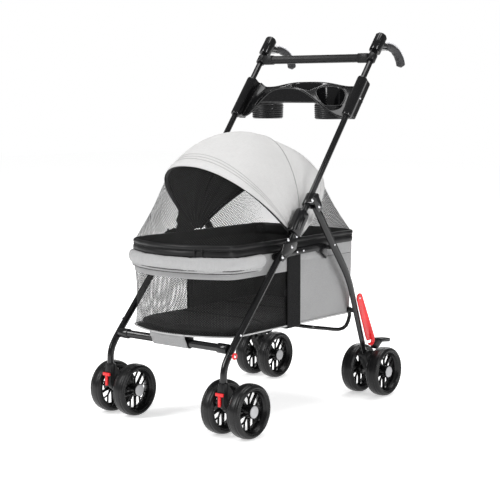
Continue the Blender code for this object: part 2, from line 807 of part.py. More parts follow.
def tray_channel(stations=18):
    """Arched open channel between the two clamps, closed at both ends."""
    bm = bmesh.new()
    rows = []
    for i in range(stations + 1):
        x = TRAY_END_X * (2 * i / stations - 1)
        rows.append([bm.verts.new(point) for point in tray_section(x)])
    for row, following in zip(rows, rows[1:]):
        for a in range(3):
            bm.faces.new((row[a], row[a + 1], following[a + 1], following[a]))
    bm.faces.new(rows[0])
    bm.faces.new(rows[-1])
    channel = from_bmesh("parent_tray", bm)
    shell = channel.modifiers.new("wall", "SOLIDIFY")
    shell.thickness = TRAY_WALL
    shell.offset = 0.0
    return bake(channel)


def cup_rod(name, side, low, high, radius):
    x = side * CUP_X
    return rod(name, at(x, (CUP_Y, low)), at(x, (CUP_Y, high)), radius, 24)


def build_tray(handle):
    tray = tray_channel()
    foot, head = CUP_SPAN_Z
    for side in (1, -1):
        tray = join(tray, cup_rod("cup", side, foot, head, CUP_R))
    for side in (1, -1):
        above = head + 3 * OVERSHOOT
        tray = cut(tray, cup_rod("cup_bore", side, foot + TRAY_WALL, above, CUP_R - TRAY_WALL))
        tray = join(tray, push_clamp("clamp", side, TRAY_CLAMP_SPAN, TRAY_CLAMP_R))
        tray = cut(tray, push_bore(side, TRAY_CLAMP_SPAN))
    finish(tray, "gloss_plastic", handle, smooth=False)


# ---------------------------------------------------------------- rear legs


def rear_leg_x(z):
    """How far out a rear leg is at a height."""
    share = (z - REAR_LEG_FOOT["z"]) / (REAR_LEG_HEAD["z"] - REAR_LEG_FOOT["z"])
    return REAR_LEG_FOOT["x"] + (REAR_LEG_HEAD["x"] - REAR_LEG_FOOT["x"]) * share


def rear_leg_shape(name, side, extra=0.0):
    """Flattened tube along the rear leg, grown by extra for its sockets."""
    steps = 2
    sketch = [*REAR_LEG_SKETCH, REAR_SOCKET_END] if extra else REAR_LEG_SKETCH
    path = smooth_path([at(0.0, point) for point in sketch], steps)
    taper_steps = (len(REAR_LEG_SKETCH) - 1) * steps
    radii = []
    for i in range(len(path)):
        radii.append(REAR_LEG_R - REAR_LEG_TAPER * min(1.0, i / taper_steps) + extra)
    leg = tube(name, path, REAR_LEG_R, radii=radii)
    for vertex in leg.data.vertices:
        vertex.co.x = side * (rear_leg_x(vertex.co.z) + vertex.co.x * REAR_LEG_FLATNESS)
    if side < 0:
        leg.data.flip_normals()
    return leg


def build_rear_leg(side_name, side, frame):
    leg = rear_leg_shape(f"rear_leg_{side_name}", side)
    hole = cross_hole(side * rear_leg_x(REAR_PIVOT[1]), REAR_PIVOT, PIVOT_HOLE_R)
    finish(cut(leg, hole), "black_tube", frame)


def build_rear_housing(side_name, side, frame):
    """Moulding between the twin rear wheels that takes the leg's foot and the axle."""
    outline = hull_outline(HOUSING_HULL)
    name = f"rear_housing_{side_name}"
    housing = flat_plate(name, outline, side * TUBE_X, HOUSING_HALF_WIDTH)
    housing = join(housing, axle_rod(side, REAR_AXLE))
    housing = cut(housing, rear_leg_shape("socket", side, RUNNING_GAP))
    finish(housing, "black_plastic", frame, smooth=False)


def build_lower_bar(frame):
    """Bent bar from one rear leg under the basket to the other."""
    half = [at(x, (y, z)) for x, y, z in LOWER_BAR_SKETCH]
    mirrored = [Vector((-point.x, point.y, point.z)) for point in reversed(half)]
    path = smooth_path(half + mirrored, 2)
    bar = tube("rear_lower_bar", path, LOWER_BAR_R, resolution=2)
    for side in (1, -1):
        inner = side * (rear_leg_x(LOWER_BAR_LUG_AT[1]) - REAR_LEG_R * REAR_LEG_FLATNESS - GAP)
        start = side * LOWER_BAR_LUG_X
        bar = join(bar, cross_rod("lug", start, inner, LOWER_BAR_LUG_AT, LOWER_BAR_LUG_R))
    finish(bar, "black_tube", frame)


def build_brake_pedal(side_name, side, frame):
    x = side * TUBE_X
    hinge = pivot(f"brake_pedal_{side_name}_hinge", at(x, PEDAL_HINGE), frame)
    outline = hull_outline(PEDAL_ARM_HULL)
    arm = flat_plate(f"brake_pedal_{side_name}", outline, x, PEDAL_ARM_HALF_WIDTH)
    pad = flat_plate("pad", hull_outline(PEDAL_PAD_HULL), x, PEDAL_PAD_HALF_WIDTH)
    finish(join(arm, pad), "black_plastic", hinge, smooth=False)


def build_fold_latch(frame):
    """Red plate with a hook at its foot. It swings about its top rivet to catch the stud."""
    hinge = pivot("fold_latch_hinge", at(HOOK_X, LATCH_PIVOT), frame)
    plate = flat_plate("fold_latch", hull_outline(LATCH_HULL), HOOK_X, HOOK_HALF_THICKNESS)
    eye = cross_hole(HOOK_X, LATCH_EYE, LATCH_EYE_R)
    mouth = box("mouth", at(HOOK_X, LATCH_MOUTH_AT), LATCH_MOUTH_SIZE)
    finish(cut(plate, eye, mouth), "red_plastic", hinge, smooth=False)


# ---------------------------------------------------------------- side rails


def rail_plate(name, side, hull):
    return flat_plate(name, hull_outline(hull), side * RAIL_X, RAIL_HALF_THICKNESS)


def build_side_rail(side_name, side, rails):
    """Bar from the front leg's rivet back to the rear leg. Its rear rivet is the open pivot."""
    x = side * RAIL_X
    head_start, head_end = (side * place for place in RAIL_HEAD_SPAN_X)
    rail = join(
        rail_plate(f"side_rail_{side_name}", side, RAIL_FRONT_HULL),
        rail_plate("rear", side, RAIL_REAR_HULL),
        rail_plate("bracket", side, RAIL_BRACKET_HULL),
        cross_rod("pin", x, side * RAIL_PIN_END_X, RAIL_FRONT, PIVOT_PIN_R),
        cross_rod("head", head_start, head_end, RAIL_FRONT, RAIL_HEAD_R),
        cross_rod("boss", x, side * RAIL_BOSS_END_X, RAIL_REAR, RAIL_BOSS_R),
    )
    finish(rail, "black_tube", rails, smooth=False)


# ---------------------------------------------------------------- basket


def basket_outline(inset=0.0, rear_shift=0.0, corner_steps=5):
    """Plan outline of the basket, anticlockwise from the front: bowed front, rounded corners."""
    half = TUB_HALF_WIDTH - inset
    front = TUB_FRONT_Y + inset
    corner_y = TUB_FRONT_CORNER_Y + inset
    rear = TUB_REAR_Y - inset + rear_shift
    radius = 0.030
    points = []
    steps = 10
    arc_half = half - 0.012
    for i in range(steps + 1):
        share = 2 * i / steps - 1
        points.append((arc_half * share, front + (corner_y - front) * share**2))
    points.append((half - 0.003, corner_y + 0.016))
    points.append((half, corner_y + 0.045))
    for share in (0.25, 0.5, 0.75):
        points.append((half, corner_y + 0.045 + share * (rear - radius - corner_y - 0.045)))
    for i in range(corner_steps + 1):
        angle = math.pi / 2 * i / corner_steps
        points.append(
            (half - radius + radius * math.cos(angle), rear - radius + radius * math.sin(angle))
        )
    left = [(-x, y) for x, y in reversed(points[steps + 1 :])]
    return points + left


def ring_of(bm, outline, z):
    return [bm.verts.new((x, y + FRONT_AXLE_Y, z)) for x, y in outline]


def wall_between(bm, lower, upper):
    count = len(lower)
    for i in range(count):
        j = (i + 1) % count
        bm.faces.new((lower[i], lower[j], upper[j], upper[i]))


def build_basket():
    """Fabric basket: floor and walls as one open-topped shell."""
    bm = bmesh.new()
    lower = ring_of(bm, basket_outline(), TUB_BOTTOM_Z)
    upper = ring_of(bm, basket_outline(rear_shift=TUB_REAR_LEAN), RIM_TOP_Z)
    wall_between(bm, lower, upper)
    bm.faces.new(lower[::-1])
    basket = from_bmesh("basket_fabric", bm)
    shell = basket.modifiers.new("wall", "SOLIDIFY")
    shell.thickness = TUB_WALL
    shell.offset = -1.0
    shell.use_even_offset = True
    finish(bake(basket), "grey_fabric", smooth=False)


def outline_block(name, outline, low, high):
    """A plan outline raised from one height to another."""
    bm = bmesh.new()
    bottom = ring_of(bm, outline, low)
    top = ring_of(bm, outline, high)
    wall_between(bm, bottom, top)
    bm.faces.new(bottom[::-1])
    bm.faces.new(top)
    return from_bmesh(name, bm)


def build_floor_pad():
    low = TUB_BOTTOM_Z + TUB_WALL + GAP
    pad = outline_block("floor_pad", basket_outline(inset=0.008), low, low + 0.022)
    finish(pad, "black_fabric", smooth=False)


def offset_path(path, distance):
    """An open plan path moved sideways, to its right as it runs."""
    moved = []
    for i, (x, y) in enumerate(path):
        before = Vector(path[max(i - 1, 0)])
        after = Vector(path[min(i + 1, len(path) - 1)])
        along = (after - before).normalized()
        moved.append((x + along.y * distance, y - along.x * distance))
    return moved


def build_bumper():
    """Padded apron across the basket's front, wrapped a little way round its sides."""
    outline = basket_outline()
    right = [*outline[:13], (TUB_HALF_WIDTH, BUMPER_END_Y)]
    left = [(-x, y) for x, y in reversed(right[11:])]
    path = [*left, *right]
    ring = offset_path(path, BUMPER_BULGE) + offset_path(path, GAP)[::-1]
    bumper = outline_block("front_bumper", ring, BUMPER_SPAN_Z[0], BUMPER_SPAN_Z[1])
    finish(bumper, "grey_fabric", smooth=False)


# ---------------------------------------------------------------- canopy


def bow_point(bow, share, grow=0.0):
    """Point on a canopy bow. share runs from 0 at the left foot to 1 at the right foot."""
    radius, lean, roundness = bow
    low = (RIM_TOP_Z + BOW_R + 0.001 - CANOPY_PIVOT[1]) / math.sin(lean)
    angle = math.pi * share
    across = math.copysign(abs(math.cos(angle)) ** (2 / roundness), math.cos(angle))
    reach = low + (radius + grow - low) * math.sin(angle) ** (2 / roundness)
    x = (CANOPY_HALF_WIDTH + grow) * across
    y = CANOPY_PIVOT[0] + reach * math.cos(lean)
    z = CANOPY_PIVOT[1] + reach * math.sin(lean)
    return at(x, (y, z))


def bow_shares(count):
    """Shares bunched near the feet, where a bow turns fastest."""
    return [0.5 - 0.5 * math.cos(math.pi * i / count) for i in range(count + 1)]


def build_bow(name, bow, parent=None):
    path = [bow_point(bow, share) for share in bow_shares(16)]
    finish(tube(name, path, BOW_R, resolution=1), "steel", parent)


def sheet_between(name, rows, thickness):
    """A thin solid skin through rows of points."""
    bm = bmesh.new()
    grid = [[bm.verts.new(point) for point in row] for row in rows]
    for row, following in zip(grid, grid[1:]):
        for a in range(len(row) - 1):
            bm.faces.new((row[a], row[a + 1], following[a + 1], following[a]))
    skin = from_bmesh(name, bm)
    shell = skin.modifiers.new("skin", "SOLIDIFY")
    shell.thickness = thickness
    shell.offset = 0.0
    return bake(skin)


def blend_bows(first, second, mix):
    return tuple(a + (b - a) * mix for a, b in zip(first, second))


def build_canopy_panel(name, first, second, start, end, steps=4):
    """Fabric from one bow to the next, lying just outside them."""
    rows = []
    for i in range(steps + 1):
        mix = start + (end - start) * i / steps
        bow = blend_bows(first, second, mix)
        rows.append([bow_point(bow, share, PANEL_CLEARANCE) for share in bow_shares(16)])
    finish(sheet_between(name, rows, 0.0016), "pale_fabric", smooth=True)


def rim_run(front):
    """Points along the rim from its left side round the front, or the rear, to its right side."""
    half = TUB_HALF_WIDTH - 0.004
    if front:
        stop_y = CANOPY_PIVOT[0] - 0.022
        corner_y = TUB_FRONT_CORNER_Y + 0.010
        sketch = [(half, stop_y), (half, 0.14), (half, corner_y + 0.035), (half - 0.014, corner_y)]
        sketch += [(0.11, -0.008), (0.055, -0.026), (0.0, TUB_FRONT_Y + 0.008)]
    else:
        rear = TUB_REAR_Y + TUB_REAR_LEAN - 0.004
        sketch = [(half, CANOPY_PIVOT[0] + 0.030), (half, 0.40), (half, rear - 0.04)]
        sketch += [(half - 0.012, rear - 0.010), (half - 0.050, rear), (0.06, rear), (0.0, rear)]
    return sketch + [(-x, y) for x, y in reversed(sketch[:-1])]


def run_point(run, share):
    """Point at a share of the run's length."""
    lengths = [0.0]
    for a, b in zip(run, run[1:]):
        lengths.append(lengths[-1] + math.dist(a, b))
    target = share * lengths[-1]
    for i in range(1, len(run)):
        if target <= lengths[i] + 1e-9:
            part = (target - lengths[i - 1]) / (lengths[i] - lengths[i - 1])
            ahead = run[i]
            behind = run[i - 1]
            return tuple(a + (b - a) * part for a, b in zip(behind, ahead))
    return run[-1]


def build_window(name, bow, front, steps=2):
    """Mesh window stretched from a bow down to the rim."""
    radius, lean, roundness = bow
    shift = math.radians(1.6) if front else -math.radians(1.6)
    edge = (radius, lean + shift, roundness)
    run = rim_run(front)
    shares = bow_shares(16)
    rows = []
    for i in range(steps + 1):
        mix = i / steps
        row = []
        for share in shares:
            upper = bow_point(edge, 0.03 + 0.94 * share, -PANEL_CLEARANCE)
            x, y = run_point(run, share)
            lower = Vector((x, y + FRONT_AXLE_Y, RIM_TOP_Z + 0.0015))
            row.append(upper.lerp(lower, mix))
        rows.append(row)
    finish(sheet_between(name, rows, 0.0012), "black_mesh", smooth=True)


def build_canopy():
    hinge = pivot("canopy_front_hinge", at(0.0, CANOPY_PIVOT))
    build_bow("canopy_front_bow", BOWS["front"], hinge)
    build_bow("canopy_middle_bow", BOWS["middle"])
    build_bow("canopy_rear_bow", BOWS["rear"])
    build_canopy_panel("canopy_front_panel", BOWS["front"], BOWS["middle"], 0.0, 0.985)
    build_canopy_panel("canopy_rear_panel", BOWS["middle"], BOWS["rear"], 0.015, 1.0)
    build_window("front_mesh_window", BOWS["front"], True)
    build_window("rear_mesh_window", BOWS["rear"], False)


# ---------------------------------------------------------------- assembly


def build_side(side_name, side, handle, rear_frame, rails):
    build_front_leg(side_name, side)
    build_knee_plate(side_name, side)
    build_caster(side_name, side)
    build_push_tube(side_name, side, handle)
    build_lock_sleeve(side_name, side, handle)
    build_leg_collar(side_name, side, handle)
    build_end_cap(side_name, side, handle)
    build_grip(side_name, side, handle)
    build_rear_leg(side_name, side, rear_frame)
    build_rear_housing(side_name, side, rear_frame)
    build_brake_pedal(side_name, side, rear_frame)
    build_wheel_pair("rear", side_name, side, REAR_AXLE, rear_frame)
    build_side_rail(side_name, side, rails)


def main():
    handle = pivot("handle_fold_axis", at(0.0, KNEE))
    rear_frame = pivot("rear_legs_axis", at(0.0, REAR_PIVOT), handle)
    rails = pivot("side_rails_axis", at(0.0, RAIL_FRONT))
    for side_name, side in SIDES:
        build_side(side_name, side, handle, rear_frame, rails)
    build_front_crossbar()
    build_latch_stud()
    build_handle_crossbar(handle)
    build_tray(handle)
    build_lower_bar(rear_frame)
    build_fold_latch(rear_frame)
    build_basket()
    build_floor_pad()
    build_bumper()
    build_canopy()


clear_scene()
PARTS = make_collection()
MATERIALS = make_finishes()
main()
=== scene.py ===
"""Looks of the folding pet stroller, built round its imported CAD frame.

Metres, +Z up. The stroller faces -Y and its left side is at +X. Side-view points are (y, z) pairs,
with y measured back from the front axle line, as in the CAD source; at() places them.
"""

import math

import bmesh
import bpy
from mathutils import Matrix, Vector, noise


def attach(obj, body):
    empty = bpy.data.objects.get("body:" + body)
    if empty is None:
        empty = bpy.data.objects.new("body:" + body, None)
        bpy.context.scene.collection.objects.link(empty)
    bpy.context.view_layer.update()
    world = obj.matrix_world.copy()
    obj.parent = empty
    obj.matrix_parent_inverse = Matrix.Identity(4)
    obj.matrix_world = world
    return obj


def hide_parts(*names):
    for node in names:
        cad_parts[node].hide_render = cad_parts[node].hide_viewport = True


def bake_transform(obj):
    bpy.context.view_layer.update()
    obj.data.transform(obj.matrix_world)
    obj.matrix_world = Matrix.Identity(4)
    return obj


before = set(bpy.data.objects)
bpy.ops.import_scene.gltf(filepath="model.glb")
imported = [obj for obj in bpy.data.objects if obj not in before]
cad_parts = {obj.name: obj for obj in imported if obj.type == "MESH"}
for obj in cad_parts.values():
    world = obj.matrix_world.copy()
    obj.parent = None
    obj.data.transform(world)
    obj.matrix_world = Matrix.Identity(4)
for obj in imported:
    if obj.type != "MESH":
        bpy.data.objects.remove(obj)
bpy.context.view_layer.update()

FRONT_AXLE_Y = -0.3344
SIDES = (("left", 1), ("right", -1))

# Frame and joints, as in the CAD source
TUBE_X = 0.190
PAIR_HALF_SPACING = 0.0408
WHEEL_R = 0.0675
FRONT_AXLE = (0.0, WHEEL_R)
REAR_AXLE = (0.597, WHEEL_R)
KNEE = (0.2145, 0.452)
PUSH_ANGLE = math.radians(52.24)
REAR_PIVOT = (0.2995, 0.5435)
CANOPY_PIVOT = (0.2715, 0.457)
LATCH_PIVOT = (0.5100, 0.2810)
LATCH_EYE = (0.5660, 0.1540)
STUD_AT = (-0.0255, 0.2030)

# Basket
TUB_BOTTOM_Z = 0.2345
TUB_HALF_WIDTH = 0.167
TUB_FRONT_Y = -0.040
TUB_FRONT_CORNER_Y = 0.012
TUB_REAR_Y = 0.536
TUB_REAR_LEAN = 0.010
TUB_CORNER_R = 0.030
RIM_TOP_Z = 0.462
ZIP_LOW_Z = 0.431
BAND_LOW_Z = 0.379
PIPING_Z = 0.2375
STRAP_FRONT_Y = 0.232
STRAP_REAR_Y = 0.288
PANEL_TOP_Z = 0.437
# The rear panel's top hem: its sewn line's height, and where that starts along the side
HEM_Z = 0.402
HEM_START_Y = 0.400
# The zip's chain, and its two sliders' places along the rim
ZIP_PITCH = 0.0022
ZIP_TEETH_Z = 0.4496
ZIP_SLIDERS = (("a", 0.085), ("b", 0.104))
# The front tab's half width and side profile
TAB_HALF_WIDTH = 0.058
TAB_PROFILE = [
    (-0.0370, 0.2400), (-0.0385, 0.2340), (-0.0375, 0.2290), (-0.0330, 0.2215), (-0.0303, 0.2160),
    (-0.0275, 0.2080), (-0.0220, 0.2035), (-0.0160, 0.2022), (-0.0095, 0.2040), (-0.0045, 0.2085),
    (-0.0025, 0.2160), (-0.0030, 0.2240), (-0.0040, 0.2330),
]

# Padded pieces: the cushion's two sewn channels, the apron's (out, z) section, ends and sewn lines, and
# the cloth simulation that swells both
PAD_CHANNELS_Y = (0.155, 0.345)
APRON_PROFILE = [
    (0.0018, 0.3905), (0.0060, 0.3885), (0.0082, 0.3930), (0.0078, 0.3970), (0.0095, 0.4005),
    (0.0125, 0.4065), (0.0160, 0.4140), (0.0160, 0.4245), (0.0120, 0.4330), (0.0050, 0.4365),
    (0.0018, 0.4335),
]
APRON_MIDDLE_Z = 0.4130
APRON_END_Y = 0.128
APRON_END_LENGTH = 0.020
APRON_SEAMS = ((0.4010, 0.0080), (0.3940, 0.0066))
CLOTH_FRAMES = 20
CLOTH_SETTINGS = {
    "quality": 5,
    "mass": 0.3,
    "tension_stiffness": 15,
    "compression_stiffness": 15,
    "shear_stiffness": 5,
    "bending_stiffness": 0.5,
    "use_pressure": True,
}

# Canopy: each bow's reach from the hinge, lean and roundness, and the cloth's height over the bows
CANOPY_HALF_WIDTH = 0.1665
BOWS = {
    "front": (0.298, math.radians(138.0), 2.25),
    "middle": (0.266, math.radians(79.7), 1.95),
    "rear": (0.300, math.radians(35.0), 2.06),
}
BOW_R = 0.0026
CANOPY_GROW = 0.0056
# Sewn lines across the canopy: place along it, and depth
CANOPY_SEAMS = ((0.045, 0.0012), (0.075, 0.0012), (0.105, 0.0008), (1.0, 0.0010), (1.93, 0.0012))
# The cloth's two edges, as places along the canopy: 0 is the front bow, 1 the middle, 2 the rear
CANOPY_FRONT_MIX = -0.045
CANOPY_REAR_MIX = 2.04
# Rows of points in a net, from its bow down to the rim
WINDOW_LINES = 31

# Wheels: profiles as (radius, x)
TYRE_PROFILE = [
    (0.0556, -0.0172), (0.0566, -0.0186), (0.0582, -0.0196), (0.0598, -0.0197), (0.0606, -0.0190),
    (0.0612, -0.0191), (0.0624, -0.0182), (0.0632, -0.0168), (0.0637, -0.0169), (0.0650, -0.0154),
    (0.0661, -0.0130), (0.0667, -0.0106), (0.0663, -0.0097), (0.0663, -0.0090), (0.0672, -0.0080),
    (0.0675, -0.0050), (0.0676, 0.0),
]
RIM_FACE = [
    (0.0558, 0.0150), (0.0553, 0.0170), (0.0542, 0.0177), (0.0530, 0.0170), (0.0512, 0.0120),
    (0.0486, 0.0075), (0.0470, 0.0056),
]
HUB = [
    (0.0045, -0.0145), (0.0130, -0.0145), (0.0152, -0.0130), (0.0160, 0.0020), (0.0168, 0.0130),
    (0.0166, 0.0165), (0.0160, 0.0172), (0.0154, 0.0168), (0.0152, 0.0160), (0.0, 0.0160),
]
HUB_CAP = [
    (0.0, 0.0188), (0.0070, 0.01875), (0.0130, 0.0184), (0.0146, 0.0179), (0.0151, 0.0170),
    (0.0151, 0.0155),
]
SPOKES = 5

# Fold latch: circles (y, z, radius) in the side plane, and (x, shrink) levels. Stud: (radius, x) profiles
LATCH_OUTLINE = [(*LATCH_PIVOT, 0.0125), (0.5560, 0.1780, 0.0160), (0.5690, 0.1570, 0.0165)]
LATCH_MOUTH = [(0.5350, 0.1530, 0.0042), (0.5640, 0.1535, 0.0042)]
LATCH_LEVELS = [
    (0.2042, 0.0012), (0.2048, 0.0), (0.2080, 0.0), (0.2088, 0.0010), (0.2088, 0.0030), (0.2078, 0.0036),
]
LATCH_CUT = [(0.19, 0.0), (0.22, 0.0)]
STUD_COLLAR = [
    (0.0050, 0.0066), (0.0078, 0.0066), (0.0083, 0.0076), (0.0083, 0.0098), (0.0077, 0.0108),
    (0.0054, 0.0108), (0.0050, 0.0100), (0.0050, 0.0066),
]
STUD_PIN = [(0.0, 0.0114), (0.0036, 0.0111), (0.0045, 0.0102), (0.0046, 0.0), (0.0, 0.0)]

# Lock sleeve: (distance up the push tube, share of full size), and how far its faces are from the tube
SLEEVE_SHAPE = [
    (0.0292, 0.72), (0.0300, 0.86), (0.0330, 0.97), (0.0380, 1.0), (0.0860, 1.0), (0.0930, 0.97),
    (0.0975, 0.88), (0.0995, 0.74),
]
SLEEVE_FRONT_BACK = (-0.0215, 0.0165)
SLEEVE_INNER_OUTER = (-0.0140, 0.0135)

# The grips' middle line
GRIP_PATH = [
    (0.6400, 0.9590), (0.6560, 0.9605), (0.6780, 0.9580), (0.6990, 0.9490), (0.7150, 0.9350),
    (0.7255, 0.9190), (0.7300, 0.9040),
]

# Rivets on both sides: name, place, x of the left one's seat, body and size
RIVETS = (
    ("collar_a", (0.2705, 0.5614), 0.2212, "handle", "large"),
    ("collar_b", REAR_PIVOT, 0.2212, "handle", "large"),
    ("knee_a", (0.1928, 0.4655), 0.2034, "front_frame", "large"),
    ("knee_b", (0.2084, 0.4464), 0.2034, "front_frame", "large"),
    ("sleeve_tail", (0.2282, 0.4707), 0.2034, "handle", "small"),
    ("rail_front", (0.1665, 0.4240), 0.2058, "side_rails", "large"),
    ("rail_a", (0.2648, 0.4272), 0.1787, "side_rails", "small"),
    ("rail_b", (0.2233, 0.4265), 0.1787, "side_rails", "small"),
    ("rail_c", (0.2914, 0.4281), 0.1787, "side_rails", "small"),
    ("rear_leg", (0.3858, 0.4375), 0.2100, "rear_frame", "small"),
    ("leg_mid", (0.0096, 0.2482), 0.1990, "front_frame", "small"),
)

# Parent tray
TRAY_END_X = 0.1785
TRAY_FRONT_Y = 0.452
TRAY_REAR_Y = 0.560
TRAY_UNDERSIDE_Z = 0.806
TRAY_LIP_DEPTH = 0.0055
CUP_X = 0.108
CUP_Y = 0.507
CUP_RIBS = 7
CUP_RIB_PITCH = 0.0052
TROUGH_Y = 0.5065
TROUGH_HALF_X = 0.0585
TROUGH_HALF_Y = 0.0465
TROUGH_FLOOR_Z = 0.8125
# Above the whole tray, where the wells' and the trough's cutters end
CUT_TOP_Z = 0.93
# Voxel sizes of the tray's first and second remesh
TRAY_VOXELS = (0.0016, 0.0014)

# Studio: name, place, size and power of each soft light
LIGHTS = (
    ("key", (-1.6, -3.2, 3.0), (0.8, 2.6), 112.0),
    ("fill", (3.4, -1.0, 1.6), (0.6, 2.8), 62.0),
    ("top", (0.0, 0.6, 4.0), (2.5, 2.5), 80.0),
    ("back", (-1.5, 3.6, 2.2), (2.6, 2.0), 44.0),
)
LIGHTS_LOOK_AT = (0.0, 0.0, 0.45)
ROOM_LIGHT = 0.24
WHITE = (1.0, 1.0, 1.0, 1.0)
# The paper floor: half its width, its glow near the stroller and far from it, and between which distances
FLOOR_HALF = 12.0
FLOOR_GLOW = (0.52, 0.76)
GLOW_FROM_TO = (0.6, 2.6)

# Camera
CAMERA_AT = (2.15917774, -2.39808579 + FRONT_AXLE_Y, 0.82087684)
CAMERA_LOOKS_AT = (-0.7601, 1.2396 + FRONT_AXLE_Y, 0.2737)
CAMERA_LENS_MM = 93.657


def at(x, point):
    """The place of a side-view (y, z) point at the given x."""
    return Vector((x, point[0] + FRONT_AXLE_Y, point[1]))


def along_push(distance, offset=0.0):
    """Side-view point at a distance up the push tube from the knee, offset to its rear side."""
    y = KNEE[0] + distance * math.cos(PUSH_ANGLE) + offset * math.sin(PUSH_ANGLE)
    z = KNEE[1] + distance * math.sin(PUSH_ANGLE) - offset * math.cos(PUSH_ANGLE)
    return (y, z)


def clamp01(value):
    return max(0.0, min(1.0, value))


def ease(value):
    value = clamp01(value)
    return value * value * (3 - 2 * value)


def bump_at(value, centre, half_width):
    """1 at the centre, easing to 0 at half_width away."""
    return ease(1 - abs(value - centre) / half_width)


# ---------------------------------------------------------------- looks

BLACK = (0.006, 0.006, 0.0065)
DARK = (0.008, 0.008, 0.0085)
WEBBING = (0.007, 0.007, 0.0075)
NET = (0.012, 0.012, 0.012)

# Material, slot, colour, roughness, grain's scale and height, and other sockets
HARD_LOOKS = {
    "powder": ("powder_coat", "black_tube", BLACK, 0.20, 1500.0, 0.00004, {"Specular_IOR_Level": 0.42}),
    "moulded": ("moulded_black", "black_plastic", DARK, 0.38, 2600.0, 0.00008, {"Specular_IOR_Level": 0.28}),
    "gloss": ("gloss_black", "gloss_plastic", BLACK, 0.13, 1800.0, 0.00001, {"Specular_IOR_Level": 0.44}),
    "tyre": ("tyre_foam", "tyre_rubber", DARK, 0.28, 1400.0, 0.00008, {"Specular_IOR_Level": 0.30}),
    "rim": ("rim_black", "rim_plastic", BLACK, 0.26, 2200.0, 0.00004, {"Specular_IOR_Level": 0.30}),
    "hub": ("hub_grey", "rim_plastic", (0.42, 0.42, 0.43), 0.42, 1900.0, 0.00012, {}),
    "red": ("red_moulded", "red_plastic", (0.70, 0.012, 0.016), 0.33, 2000.0, 0.00005, {}),
    "grip": ("grip_rubber", "grip_foam", (0.020, 0.020, 0.022), 0.62, 700.0, 0.00060, {}),
    "grip_top": ("grip_top_grey", "grip_foam", (0.62, 0.62, 0.64), 0.30, 2400.0, 0.00004, {}),
    "steel": ("rivet_steel", "steel", (0.72, 0.72, 0.74), 0.26, 3000.0, 0.00003, {"Metallic": 1.0}),
}

# Material, slot, colour, roughness, thread pitch, and other options of cloth_material
OBJECT = {"kind": "Object"}
UPRIGHT = {"kind": "Object", "axes": "XZ"}
CLOTH_LOOKS = {
    "thread_grey": ("thread_grey", "grey_fabric", (0.30, 0.30, 0.305), 0.8, 0.0006, OBJECT),
    "seam": ("seam_dark", "grey_fabric", (0.05, 0.05, 0.05), 0.8, 0.0006, OBJECT),
    "grey": ("cloth_grey", "grey_fabric", (0.325, 0.325, 0.328), 0.85, 0.0011, {}),
    "apron": ("cloth_apron", "grey_fabric", (0.43, 0.43, 0.433), 0.85, 0.0011, UPRIGHT),
    "pale": ("cloth_pale", "pale_fabric", (0.655, 0.65, 0.645), 0.82, 0.0011, {}),
    "piping": ("cloth_piping", "pale_fabric", (0.55, 0.55, 0.55), 0.7, 0.0008, UPRIGHT),
    "zip_tape": ("zip_tape_black", "black_fabric", (0.005, 0.005, 0.0055), 0.45, 0.0010, {"sheen": 0.0}),
    "lining": ("lining_black", "black_fabric", (0.014, 0.014, 0.015), 0.62, 0.0010, {"sheen": 0.1}),
    "pad": (
        "pad_black", "black_fabric", (0.016, 0.016, 0.017), 0.42, 0.0010,
        {"kind": "Object", "sheen": 0.05, "depth": 0.00025},
    ),
}

# Wave heights above which a net is open, at the two ends of a span: an axis and two places on it
NET_PITCH = 0.0042
FRONT_TO_REAR = ("Y", FRONT_AXLE_Y + 0.02, FRONT_AXLE_Y + 0.16)
NET_LOOKS = {
    "net": ((-0.42, -1.15), FRONT_TO_REAR),
    "net_low": ((-0.36, -0.36), FRONT_TO_REAR),
    "net_rear": ((-1.05, -0.05), ("X", 0.02, 0.12)),
}

# The CAD parts that stay: their edges' rounding, in metres and degrees, and their looks by name
CAD_EDGE_WIDTH = 0.0006
CAD_EDGE_ANGLE = 35.0
CAD_LOOKS = {
    "powder": (
        "front_leg", "push_tube", "rear_leg", "rear_lower_bar", "front_crossbar", "side_rail",
        "canopy_front_bow", "canopy_middle_bow", "canopy_rear_bow",
    ),
    "gloss": ("lock_sleeve", "leg_collar", "end_cap", "knee_plate", "parent_tray"),
    "moulded": ("caster_fork", "handle_crossbar", "rear_housing", "brake_pedal"),
    "red": ("caster_lever", "fold_latch"),
    "grip": ("grip",),
}


# ---------------------------------------------------------------- material nodes


def new_material(name, colour, roughness, **sockets):
    """A Principled material. Socket names are given with underscores."""
    material = bpy.data.materials.new(name)
    material.use_nodes = True
    shader = material.node_tree.nodes["Principled BSDF"]
    shader.inputs["Base Color"].default_value = (*colour, 1.0)
    shader.inputs["Roughness"].default_value = roughness
    for socket, value in sockets.items():
        shader.inputs[socket.replace("_", " ")].default_value = value
    return material


def shader_of(material):
    return material.node_tree.nodes["Principled BSDF"]


def coords(tree, kind="Object", scale=(1.0, 1.0, 1.0)):
    source = tree.nodes.new("ShaderNodeTexCoord")
    mapping = tree.nodes.new("ShaderNodeMapping")
    mapping.inputs["Scale"].default_value = scale
    tree.links.new(source.outputs[kind], mapping.inputs["Vector"])
    return mapping.outputs["Vector"]


def noise_value(tree, vector, scale, detail=2.0):
    node = tree.nodes.new("ShaderNodeTexNoise")
    node.inputs["Scale"].default_value = scale
    node.inputs["Detail"].default_value = detail
    tree.links.new(vector, node.inputs["Vector"])
    return node.outputs["Fac"]


def maths(tree, operation, first, second=None):
    node = tree.nodes.new("ShaderNodeMath")
    node.operation = operation
    for i, value in enumerate((first, second)):
        if isinstance(value, (int, float)):
            node.inputs[i].default_value = value
        elif value is not None:
            tree.links.new(value, node.inputs[i])
    return node.outputs["Value"]


def product(tree, first, second):
    return maths(tree, "MULTIPLY", first, second)


